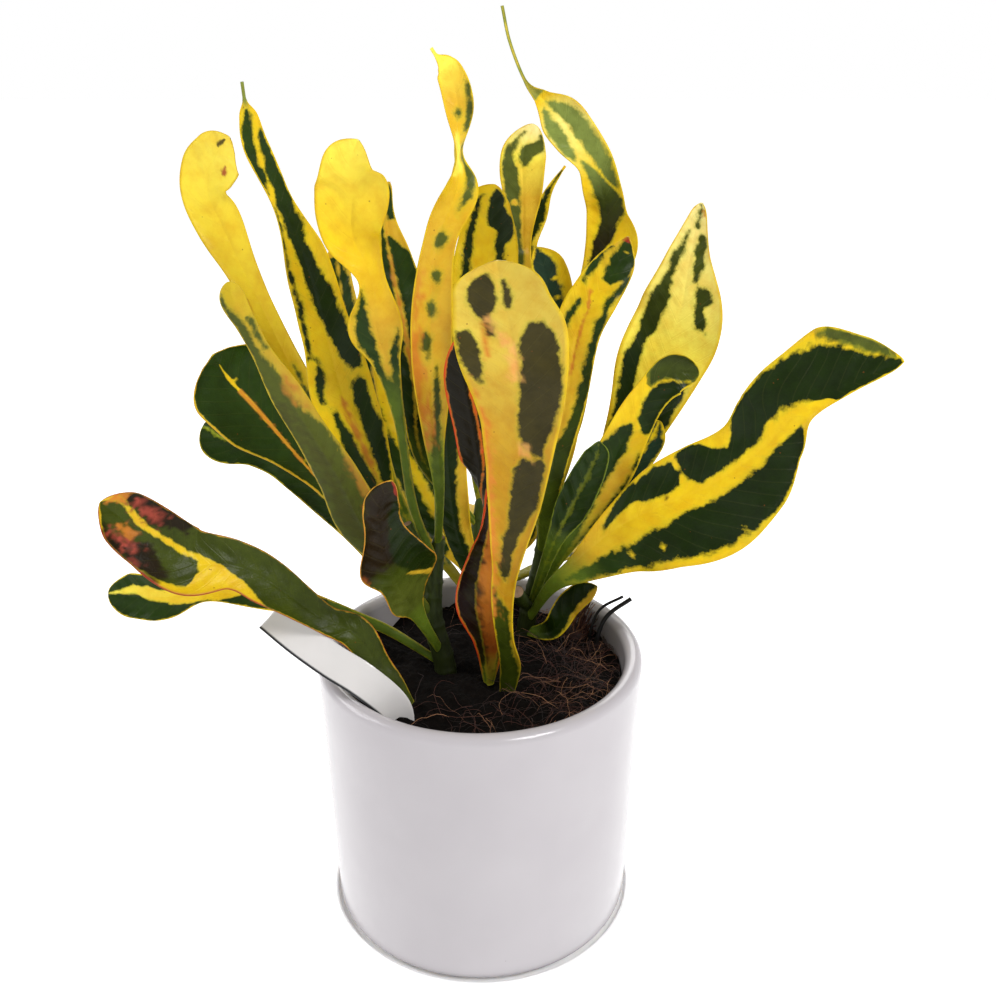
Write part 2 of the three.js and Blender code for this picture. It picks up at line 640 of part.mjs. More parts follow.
// Soil: fills the pot to below the rim, its top uneven, with a plain hole round each thing that
// stands in it
const soilTop = rimTop - soilBelowRim;
function soilBody() {
  const inner = rimRadius - wallAtRim - 3 * gap;
  const low = floorTop + floorRound;
  const lowRadius = wallAtFloor - gap;
  const points = [new THREE.Vector3(0, 0, soilTop)];
  for (let ring = 1; ring <= soilRings; ring += 1) {
    for (let k = 0; k < soilSides; k += 1) {
      const angle = (2 * Math.PI * k) / soilSides;
      const reach = (ring / soilRings) * inner;
      const x = reach * Math.cos(angle);
      const y = reach * Math.sin(angle);
      const broad = Math.sin(soilLumps.x * x + 1.3) * Math.cos(soilLumps.y * y - 0.4);
      const fine = soilLumps.small * Math.sin(soilLumps.smallX * x + soilLumps.smallY * y);
      points.push(new THREE.Vector3(x, y, soilTop + soilUnevenness * (broad + fine)));
    }
  }
  const foot = points.length;
  for (let k = 0; k < soilSides; k += 1) {
    const angle = (2 * Math.PI * k) / soilSides;
    points.push(new THREE.Vector3(lowRadius * Math.cos(angle), lowRadius * Math.sin(angle), low));
  }
  points.push(new THREE.Vector3(0, 0, low));
  const triangles = [];
  for (let k = 0; k < soilSides; k += 1) {
    const next = (k + 1) % soilSides;
    triangles.push(0, 1 + k, 1 + next);
    for (let ring = 1; ring <= soilRings; ring += 1) {
      const a = 1 + (ring - 1) * soilSides;
      const b = ring === soilRings ? foot : a + soilSides;
      triangles.push(a + k, b + k, b + next, a + k, b + next, a + next);
    }
    triangles.push(foot + k, points.length - 1, foot + next);
  }
  return meshOf(points, triangles);
}

// The rooms that the standing things take in the soil
const standing = [
  ...Object.values(stemRooms),
  ...Object.values(leaves).filter((leaf) => !leaf.from)
    .map((leaf) => solid(leafBody({ ...leaf, spare: gap }))),
  ...Object.values(wires).map((rows) => solid(stemBody(rows, gap, 6))),
  solid(stemBody(rootBall, gap, 8, 1)),
  solid(leafBody({ ...label, spare: gap })),
];

// The root ball with its rising strands
function tuftBody() {
  const [x, y] = rootBall[0];
  let tuft = solid(stemBody(rootBall, 0, 8, 1));
  for (let k = 0; k < strands.count; k += 1) {
    const angle = THREE.MathUtils.degToRad(strands.turn * k);
    const out = strands.spread * Math.sqrt(k / strands.count);
    const rise = strands.rise * (1 - 0.5 * (k / strands.count));
    const rows = [0, 0.5, 1].map((share) => {
      const reach = out + strands.lean * share * share;
      const right = x + strands.over * share * share + reach * Math.cos(angle);
      const thin = strands.radius * (1 - 0.4 * share);
      return [right, y + reach * Math.sin(angle), strands.start + rise * share, thin];
    });
    tuft = tuft.add(solid(stemBody(rows, 0, 5, 2)));
  }
  return tuft;
}

const soil = standing.reduce((body, room) => body.subtract(room), solid(soilBody()));

for (const [name, body] of Object.entries(stemBodies)) {
  addNode(name, shape(body), 'stem');
}
for (const [name, body] of Object.entries(leafShapes)) {
  addNode(name, shape(body), 'leaf');
}
addNode('soil', shape(soil), 'soil');
addNode('root_tuft', shape(tuftBody()), 'root');
addNode('label', shape(solid(leafBody(label))), 'plastic');
for (const [name, rows] of Object.entries(wires)) {
  addNode(name, stemBody(rows, 0, 6), 'wire');
}

export default group;
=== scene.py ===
import bpy
import numpy as np
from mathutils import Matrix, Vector


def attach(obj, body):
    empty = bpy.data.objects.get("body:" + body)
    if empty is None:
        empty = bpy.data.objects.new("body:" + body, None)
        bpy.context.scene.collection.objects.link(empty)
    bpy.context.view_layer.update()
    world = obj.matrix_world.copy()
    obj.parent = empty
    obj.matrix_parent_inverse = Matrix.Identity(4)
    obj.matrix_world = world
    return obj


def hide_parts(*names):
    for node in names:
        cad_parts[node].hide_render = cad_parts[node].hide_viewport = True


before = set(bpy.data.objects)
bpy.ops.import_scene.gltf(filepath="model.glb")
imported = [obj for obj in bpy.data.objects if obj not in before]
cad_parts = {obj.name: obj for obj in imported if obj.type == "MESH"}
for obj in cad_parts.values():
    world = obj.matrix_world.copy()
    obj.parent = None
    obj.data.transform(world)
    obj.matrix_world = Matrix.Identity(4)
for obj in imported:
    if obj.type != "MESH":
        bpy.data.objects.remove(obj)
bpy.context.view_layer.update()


# Viewpoint: the camera stands in front of the pot and above it, 23 degrees down, and looks at a
# point over the middle of the pot. Leaves and stems are placed from the same viewpoint. Lengths in
# the sections below are millimetres, and become metres when a mesh is made.
MM = 0.001
eye_tilt = np.radians(23.0)
eye_distance = 420.0
looked_at = np.array([7.7, 0.0, 183.0])
eye = looked_at + eye_distance * np.array([0.0, -np.cos(eye_tilt), np.sin(eye_tilt)])

camera = bpy.data.objects.new("camera", bpy.data.cameras.new("camera"))
camera.data.sensor_width = 36.0
camera.data.lens = 39.75
camera.location = Vector(eye * MM)
camera.rotation_euler = (np.pi / 2 - eye_tilt, 0.0, 0.0)
bpy.context.collection.objects.link(camera)
bpy.context.scene.camera = camera


# Studio: a pale floor that runs out to a pale surround, a soft lamp in front on the right, a weaker
# one on the left and one behind. The surround is darker overhead, so that the leaves keep their
# colour.
def plug(tree, made, inputs):
    """Sets a node's inputs by name, each to a value or joined to a socket."""
    for name, value in dict(inputs).items():
        if isinstance(value, bpy.types.NodeSocket):
            tree.links.new(value, made.inputs[name])
        else:
            made.inputs[name].default_value = value


def node(tree, kind, inputs=(), **settings):
    """A shader node of that kind with its settings and inputs."""
    made = tree.nodes.new(kind)
    for name, value in settings.items():
        setattr(made, name, value)
    plug(tree, made, inputs)
    return made


def new_paint(name):
    """A new material with its node tree and its main shader."""
    paint = bpy.data.materials.new(name)
    paint.use_nodes = True
    return paint, paint.node_tree, paint.node_tree.nodes["Principled BSDF"]


def soft_lamp(name, place, aim, size, power):
    """A square lamp of that size in metres at a place, turned to face its aim."""
    lamp = bpy.data.objects.new(name, bpy.data.lights.new(name, "AREA"))
    lamp.data.size = size
    lamp.data.energy = power
    lamp.location = place
    lamp.rotation_euler = (Vector(aim) - Vector(place)).to_track_quat("-Z", "Y").to_euler()
    bpy.context.collection.objects.link(lamp)


plant_middle = (0.0, 0.0, 0.2)
soft_lamp("key_lamp", (0.5, -0.55, 0.95), plant_middle, 0.4, 9.0)
soft_lamp("fill_lamp", (-0.9, 0.1, 0.75), plant_middle, 0.6, 6.5)
soft_lamp("back_lamp", (0.1, 0.9, 0.8), plant_middle, 0.6, 5.0)

white = (1.0, 1.0, 1.0, 1.0)
surround = bpy.data.worlds.new("surround")
surround.use_nodes = True
surround_tree = surround.node_tree
sky_way = node(surround_tree, "ShaderNodeTexCoord").outputs["Generated"]
sky_rise = node(surround_tree, "ShaderNodeSeparateXYZ", {0: sky_way}).outputs["Z"]
sky_level = node(surround_tree, "ShaderNodeMapRange",
                 {"Value": sky_rise, "From Min": 0.15, "From Max": 0.45, "To Min": 1.0, "To Max": 0.28})
backdrop = surround_tree.nodes["Background"]
plug(surround_tree, backdrop, {"Color": white, "Strength": sky_level.outputs[0]})
bpy.context.scene.world = surround
bpy.context.scene.view_settings.view_transform = "Standard"

floor_reach = 6.0
floor_drop = -0.0004
floor_corners = [(-floor_reach, -floor_reach, floor_drop), (floor_reach, -floor_reach, floor_drop),
                 (floor_reach, floor_reach, floor_drop), (-floor_reach, floor_reach, floor_drop)]
floor = bpy.data.objects.new("floor", bpy.data.meshes.new("floor"))
floor.data.from_pydata(floor_corners, [], [(0, 1, 2, 3)])
bpy.context.collection.objects.link(floor)
floor_paint, floor_tree, floor_shader = new_paint("floor_paint")
plug(floor_tree, floor_shader, {
    "Base Color": (0.6, 0.6, 0.6, 1.0), "Emission Color": white, "Emission Strength": 0.82,
    "Roughness": 0.9, "Specular IOR Level": 0.1})
floor.data.materials.append(floor_paint)


# Saucer: a thin round dish of white glazed stoneware under the pot, thrown with a low upright rim
# and a flat foot. Its wall is thin enough to let a little light through.
def turned(profile, sides):
    """The grid of a profile of (radius, height) carried round the vertical axis: x and y are the
    radius times the cosine and sine of each angle."""
    angle = np.linspace(0.0, 2.0 * np.pi, sides, endpoint=False)
    radius, height = np.array(profile, float).T
    return np.stack([radius[:, None] * np.cos(angle), radius[:, None] * np.sin(angle),
                     np.repeat(height[:, None], sides, axis=1)], axis=-1)


def arc(radius, centre_radius, centre_height, start, stop, steps):
    """Points on part of a circle in the profile's plane, between two angles in degrees."""
    angle = np.radians(np.linspace(start, stop, steps))
    return np.stack([centre_radius + radius * np.cos(angle),
                     centre_height + radius * np.sin(angle)], axis=1)


def skin_faces(rows, columns):
    """Quads between neighbouring points of a grid, with the last column joined to the first."""
    i, j = np.meshgrid(np.arange(rows - 1), np.arange(columns), indexing="ij")
    a = i * columns + j
    b = i * columns + (j + 1) % columns
    return np.stack([a, b, b + columns, a + columns], axis=-1).reshape(-1, 4)


def make_piece(name, points, faces, material, nodes, caps=()):
    """A finished piece from points in millimetres and quads, with its extra faces, material and
    the nodes that it stands for."""
    mesh = bpy.data.meshes.new(name)
    every_face = [tuple(int(k) for k in f) for f in faces] + [tuple(int(k) for k in c) for c in caps]
    mesh.from_pydata((np.asarray(points).reshape(-1, 3) * MM).tolist(), [], every_face)
    mesh.shade_smooth()
    mesh.materials.append(material)
    piece = bpy.data.objects.new(name, mesh)
    bpy.context.collection.objects.link(piece)
    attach(piece, "root")
    if nodes:
        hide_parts(*nodes)
    return piece


def srgb(code):
    """Linear red, green and blue of a six-figure screen colour: each channel c becomes
    ((c + 0.055) / 1.055) to the power 2.4, or c / 12.92 where it is near black."""
    c = np.array([int(code[i:i + 2], 16) for i in (0, 2, 4)]) / 255.0
    return np.where(c > 0.04045, ((c + 0.055) / 1.055) ** 2.4, c / 12.92)


def rgba(code):
    """A six-figure screen colour as linear light with full opacity."""
    return (*[float(c) for c in srgb(code)], 1.0)


def mix(tree, share, a, b, blend="MIX"):
    """The colour that share of the way from a to b, each a socket or a six-figure colour."""
    a, b = (rgba(colour) if isinstance(colour, str) else colour for colour in (a, b))
    return node(tree, "ShaderNodeMix", {"Factor": share, "A": a, "B": b}, data_type="RGBA",
                blend_type=blend).outputs["Result"]


def math(tree, operation, a, b=0.0, clamp=False):
    """The result of a sum on one or two values or sockets, held from 0 to 1 where it is clamped."""
    return node(tree, "ShaderNodeMath", {0: a, 1: b}, operation=operation, use_clamp=clamp).outputs[0]


def noise(tree, place, scale, detail=2.0, roughness=0.5):
    """Cloudy noise from 0 to 1 at a place, its clouds about one over the scale across."""
    return node(tree, "ShaderNodeTexNoise", {"Vector": place, "Scale": scale, "Detail": detail,
                                             "Roughness": roughness}).outputs["Fac"]


def bumped(tree, height, strength, distance):
    """The normal of a surface that rises with that height, over a distance in metres."""
    return node(tree, "ShaderNodeBump", {"Height": height, "Strength": strength,
                                         "Distance": distance}).outputs["Normal"]


def glaze_material(name, shade, light):
    """White glaze: a clear glossy coat over a warm grey-white body, faintly rippled, with a few
    pinholes and dark specks."""
    speck_size, speck_rarity = 0.035, 0.66
    paint, tree, shader = new_paint(name)
    place = node(tree, "ShaderNodeTexCoord").outputs["Object"]
    clouded = mix(tree, noise(tree, place, 28.0, 3.0), shade, light)
    grain = node(tree, "ShaderNodeTexVoronoi", {"Vector": place, "Scale": 210.0}).outputs["Distance"]
    speck = math(tree, "LESS_THAN", grain, speck_size)
    rare = math(tree, "GREATER_THAN", noise(tree, place, 60.0), speck_rarity)
    plug(tree, shader, {
        "Base Color": mix(tree, math(tree, "MULTIPLY", speck, rare), clouded, "6a625e"),
        "Normal": bumped(tree, noise(tree, place, 45.0), 0.12, 0.001),
        "Roughness": 0.22, "Specular IOR Level": 0.3, "Coat Weight": 0.2, "Coat Roughness": 0.12})
    return paint


round_sides = 160
saucer_radius = 64.5
saucer_height = 5.0
saucer_wall = 1.6
saucer_floor = 2.7
saucer_flat = 62.3
saucer_foot_round = 1.5
saucer_lip = saucer_wall / 2
saucer_inner_round = 1.0
midway = 30.0
saucer_profile = np.concatenate([
    [(0.0, 0.0), (midway, 0.0), (saucer_flat, 0.0)],
    arc(saucer_foot_round, saucer_radius - saucer_foot_round, saucer_foot_round, -90, 0, 7),
    arc(saucer_lip, saucer_radius - saucer_lip, saucer_height - saucer_lip, 0, 180, 9),
    arc(saucer_inner_round, saucer_radius - saucer_wall - saucer_inner_round,
        saucer_floor + saucer_inner_round, 0, -90, 6),
    [(midway, saucer_floor), (0.0, saucer_floor)],
])
saucer_glaze = glaze_material("saucer_glaze", "f3f1f1", "fbfafa")
thin_ware = saucer_glaze.node_tree.nodes["Principled BSDF"]
plug(saucer_glaze.node_tree, thin_ware, {
    "Subsurface Weight": 0.7, "Subsurface Radius": (1.0, 0.95, 0.9), "Subsurface Scale": 0.004})
make_piece("saucer_dish", turned(saucer_profile, round_sides),
           skin_faces(len(saucer_profile), round_sides), saucer_glaze, ["saucer"])


# Pot: a round planter of the same white glazed stoneware, slightly narrower at its foot, with a
# thick rolled rim, a rounded foot and a drain hole.
rim_radius = 65.0
foot_radius = 62.0
rim_wall = 7.0
pot_height = 116.0
pot_floor = 7.0
seat_gap = 0.3
pot_base = saucer_floor + seat_gap
rim_top = pot_base + pot_height
floor_top = pot_base + pot_floor
lip = rim_wall / 2
foot_round = 4.5
drain_radius = 8.0
base_middle = 35.0
outer_wall = [(62.5, 27.0), (63.4, 62.0), (64.3, 96.0)]
inner_wall = [(57.0, 96.0), (55.6, 60.0), (53.4, 24.0)]
floor_round = 6.0
floor_radius = 53.0
pot_profile = np.concatenate([
    [(drain_radius, pot_base), (base_middle, pot_base)],
    arc(foot_round, foot_radius - foot_round, pot_base + foot_round, -90, 0, 10),
    outer_wall,
    arc(lip, rim_radius - lip, rim_top - lip, 0, 180, 17),
    inner_wall,
    arc(floor_round, floor_radius - floor_round, floor_top + floor_round, 0, -90, 6),
    [(midway, floor_top), (drain_radius, floor_top), (drain_radius, pot_base)],
])
pot_glaze = glaze_material("pot_glaze", "aba6aa", "b7b3b6")
make_piece("pot_wall", turned(pot_profile, round_sides),
           skin_faces(len(pot_profile), round_sides), pot_glaze, ["pot"])


# Soil: damp dark peat that fills the pot to a finger's width below the rim, its top crumbly and
# uneven.
def lattice_noise(x, y, cell, seed):
    """Smooth noise from 0 to 1: random values on a square lattice of that cell, blended between
    its corners by the smoothstep of the place inside the cell."""
    lattice = 64
    values = np.random.default_rng(seed).random((lattice, lattice))
    fx, fy = x / cell, y / cell
    ix, iy = np.floor(fx).astype(int), np.floor(fy).astype(int)
    ux, uy = fx - ix, fy - iy
    ux, uy = ux * ux * (3 - 2 * ux), uy * uy * (3 - 2 * uy)
    left, right = ix % lattice, (ix + 1) % lattice
    near, far = iy % lattice, (iy + 1) % lattice
    a, b = values[left, near], values[right, near]
    c, d = values[left, far], values[right, far]
    return (a * (1 - ux) + b * ux) * (1 - uy) + (c * (1 - ux) + d * ux) * uy


soil_drop = 12.0
soil_level = rim_top - soil_drop
soil_reach = 57.2
lump_height = 1.5
crumb_sizes = [(5.0, 1.6, 3), (2.2, 1.3, 4), (1.1, 0.8, 5)]
crumb_middle = 1.8


def soil_height(x, y):
    """Height of the soil's top: broad lumps, products of slow sine waves, and crumbs of three
    sizes on them, each with its cell, height and seed."""
    lumps = np.sin(0.21 * x + 1.3) * np.cos(0.17 * y - 0.4) + 0.5 * np.sin(0.4 * y + 0.3 * x)
    crumbs = sum(height * lattice_noise(x, y, cell, seed) for cell, height, seed in crumb_sizes)
    return soil_level + lump_height * lumps + crumbs - crumb_middle


def ramp(tree, share, stops):
    """The colour at that share along a run of (share, colour) stops."""
    made = node(tree, "ShaderNodeValToRGB", {"Fac": share})
    elements = made.color_ramp.elements
    for element, (stop, code) in zip(list(elements), (stops[0], stops[-1])):
        element.position = stop
        element.color = rgba(code)
    for stop, code in stops[1:-1]:
        elements.new(stop).color = rgba(code)
    return made.outputs["Color"]


def soil_material():
    """Peat: near black, with brown fibres and crumbs, dull and rough all over."""
    paint, tree, shader = new_paint("peat")
    place = node(tree, "ShaderNodeTexCoord").outputs["Object"]
    crumb = noise(tree, place, 420.0, 5.0, 0.7)
    plug(tree, shader, {
        "Base Color": ramp(tree, crumb, [(0.35, "040302"), (0.78, "130d09")]),
        "Normal": bumped(tree, crumb, 0.8, 0.002),
        "Roughness": 0.95, "Specular IOR Level": 0.1})
    return paint


soil_rings = 110
soil_sides = 260
soil_base = 17.0
soil_edge = [(54.0, 40.0), (52.7, soil_base)]
ring, spoke = np.meshgrid(np.linspace(0.0, 1.0, soil_rings), np.arange(soil_sides), indexing="ij")
soil_turn = 2 * np.pi * spoke / soil_sides
soil_x = ring * soil_reach * np.cos(soil_turn)
soil_y = ring * soil_reach * np.sin(soil_turn)
soil_top = np.stack([soil_x, soil_y, soil_height(soil_x, soil_y)], axis=-1)
soil_side = turned(soil_edge + [(0.0, soil_base)], soil_sides)
soil_points = np.concatenate([soil_top, soil_side])[::-1]
make_piece("soil_fill", soil_points, skin_faces(len(soil_points), soil_sides), soil_material(),
           ["soil"])


# Stems: three rooted cuttings, green and darker toward the soil, with leaf scars. The left one still
# carries a cut twig and the right one a pruned stub, both sawn off flat.
def through(keys, place):
    """The smooth curve through evenly spaced keys, at places counted in keys: a cubic on each span
    whose slope at a key is half the step between the keys on both sides of it."""
    keys = np.asarray(keys, float)
    flat = keys.ndim == 1
    keys = keys[:, None] if flat else keys
    padded = np.concatenate([[2 * keys[0] - keys[1]], keys, [2 * keys[-1] - keys[-2]]])
    place = np.asarray(place, float)
    i = np.minimum(place.astype(int), len(keys) - 2)
    u = (place - i)[:, None]
    a, b, c, d = padded[i], padded[i + 1], padded[i + 2], padded[i + 3]
    curve = 0.5 * (2 * b + (c - a) * u + (2 * a - 5 * b + 4 * c - d) * u * u
                   + (3 * b - a - 3 * c + d) * u ** 3)
    return curve[:, 0] if flat else curve


def directions(line, place):
    """Unit directions along the smooth curve, from the points a fiftieth of a span either side."""
    step = 0.02
    ahead = through(line, np.minimum(place + step, len(line) - 1))
    behind = through(line, np.maximum(place - step, 0))
    return (ahead - behind) / np.linalg.norm(ahead - behind, axis=1)[:, None]


def rod_grid(rows, steps, sides, relief=None):
    """A round rod carried along points of (x, y, z, radius): a ring of points round each place of
    the smooth curve, at right angles to it. relief adds to the radius, from place and angle."""
    rows = np.asarray(rows, float)
    place = np.linspace(0.0, len(rows) - 1, steps)
    centre = through(rows[:, :3], place)
    radius = through(rows[:, 3], place)
    along = directions(rows[:, :3], place)
    side = np.cross([0.0, 1.0, 0.0], along)
    side /= np.linalg.norm(side, axis=1)[:, None]
    front = np.cross(along, side)
    angle = np.linspace(0.0, 2 * np.pi, sides, endpoint=False)
    reach = radius[:, None] + (relief(place[:, None], angle) if relief else 0.0)
    return (centre[:, None] + side[:, None] * (reach * np.cos(angle))[..., None]
            + front[:, None] * (reach * np.sin(angle))[..., None])


def with_cut_end(grid):
    """The rod's grid with four more rings on its flat end, shrinking to the middle: the first at
    nineteen twentieths of the radius, so that the sawn face has a crisp edge."""
    middle = grid[-1].mean(axis=0)
    rings = [middle + (grid[-1] - middle) * share for share in (0.95, 0.9, 0.5, 0.05)]
    return np.concatenate([grid, np.stack(rings)])


def rod_caps(steps, sides, start=0):
    """The two end faces of a rod, as one many-sided face each."""
    first = [start + k for k in range(sides)][::-1]
    last = [start + (steps - 1) * sides + k for k in range(sides)]
    return [first, last]


def read(tree, name, part="Fac"):
    """What was stored on the piece's points under that name."""
    return node(tree, "ShaderNodeAttribute", attribute_name=name).outputs[part]


def store(piece, name, values, kind="FLOAT", part="value"):
    """Stores a value, vector or colour for each of the piece's points, for its material to read."""
    layer = piece.data.attributes.new(name, kind, "POINT")
    layer.data.foreach_set(part, np.asarray(values).ravel().astype(np.float32))


def stem_material():
    """Young bark: olive green, darker toward the soil and in fine lengthwise cracks."""
    paint, tree, shader = new_paint("green_bark")
    place = node(tree, "ShaderNodeTexCoord").outputs["Object"]
    stretch = node(tree, "ShaderNodeMapping", {"Vector": place, "Scale": (1.0, 1.0, 0.18)}).outputs[0]
    crack = noise(tree, stretch, 900.0, 4.0)
    height = node(tree, "ShaderNodeSeparateXYZ", {0: place}).outputs["Z"]
    rise = node(tree, "ShaderNodeMapRange",
                {"Value": height, "From Min": 0.1, "From Max": 0.16}).outputs[0]
    bark = mix(tree, crack, mix(tree, rise, "1c1e09", "4a5c18"), "161d06")
    plug(tree, shader, {
        "Base Color": mix(tree, read(tree, "sawn"), bark, mix(tree, crack, "6b5442", "9a8064")),
        "Normal": bumped(tree, crack, 0.5, 0.0006),
        "Roughness": 0.5, "Specular IOR Level": 0.25})
    return paint


green_bark = stem_material()
stems = {
    "stem_left": [(-13, 3, 92, 4.6), (-15, 3, 110, 4.4), (-19, 4, 130, 3.9), (-18, 6, 148, 3.2),
                  (-16, 7, 164, 2.4)],
    "stem_right": [(18, 30, 92, 4.2), (19, 30, 110, 4.0), (22, 28, 128, 3.6), (25, 27, 146, 3.0),
                   (26, 27, 162, 2.2)],
    "stem_middle": [(0, 29, 92, 4.0), (0, 30, 110, 3.8), (-2, 33, 130, 3.4), (-2, 36, 150, 2.8),
                    (0, 38, 168, 2.0)],
}
side_shoots = {
    "stem_right": [(21, 29, 122, 3.0), (17, 22, 128, 3.0), (15, 16, 135, 2.8)],
    "stem_left": [(-19, 4, 140, 2.0), (-24, 3, 160, 2.0), (-28, 2, 172, 1.9)],
}
stem_steps = 90
stem_sides = 24


def leaf_scars(place, angle):
    """Rings where leaves fell off: a low ridge every third of a span, higher on one side, shaped
    like a bell: e to the power of minus the square of the distance over its width."""
    per_span, width, height, turn = 3.0, 0.12, 0.28, 2.4
    ridge = np.exp(-((np.mod(place * per_span, 1.0) - 0.5) / width) ** 2)
    return height * ridge * (1.0 + 0.6 * np.cos(angle - turn * np.floor(place * per_span)))


for name, rows in stems.items():
    grids = [with_cut_end(rod_grid(rows, stem_steps, stem_sides, leaf_scars))]
    if name in side_shoots:
        grids.append(with_cut_end(rod_grid(side_shoots[name], stem_steps, stem_sides)))
    rings = grids[0].shape[0]
    count = rings * stem_sides
    faces = np.concatenate([skin_faces(rings, stem_sides) + k * count for k in range(len(grids))])
    caps = [cap for k in range(len(grids)) for cap in rod_caps(rings, stem_sides, k * count)]
    points = np.concatenate([grid.reshape(-1, 3) for grid in grids])
    bark = make_piece(name + "_bark", points, faces, green_bark, [name], caps)
    store(bark, "sawn", np.repeat(np.tile(np.arange(rings) > stem_steps, len(grids)), stem_sides))


# Leaves: each one is a leathery blade with its stalk, twisted and waved as crotons are, yellow with
# dark green between the veins, or nearly all one of the two. The face is glossy and the underside
# duller. Each grows out of a stem or up through the soil. Tones are six-figure screen colours.
tones = {name: srgb(code) for name, code in {
    "yellow": "dfbd18", "bright": "f4e250", "cream": "f3e6a0", "butter": "efdf7c", "gold": "cfa62a",
    "straw": "d0b544", "ochre": "b88b16", "orange": "c67a28", "rust": "7e4012", "bark": "3a330d",
    "flame": "d2431c", "red": "9c2c1c", "rose": "a8483a", "peach": "dfa457", "brown": "1f1404",
    "umber": "221d07", "maroon": "1a0804", "soot": "0e0502", "lime": "8f991e", "light": "647a22",
    "sage": "77843a", "olive": "525a1e", "leaf": "3a440c", "green": "24380a", "deep": "172604",
    # A blue-grey dark green that stands in for a sheen of reflected light on dark tissue: a painted
    # sheen.
    "painted_sheen": "1d3323",
}.items()}

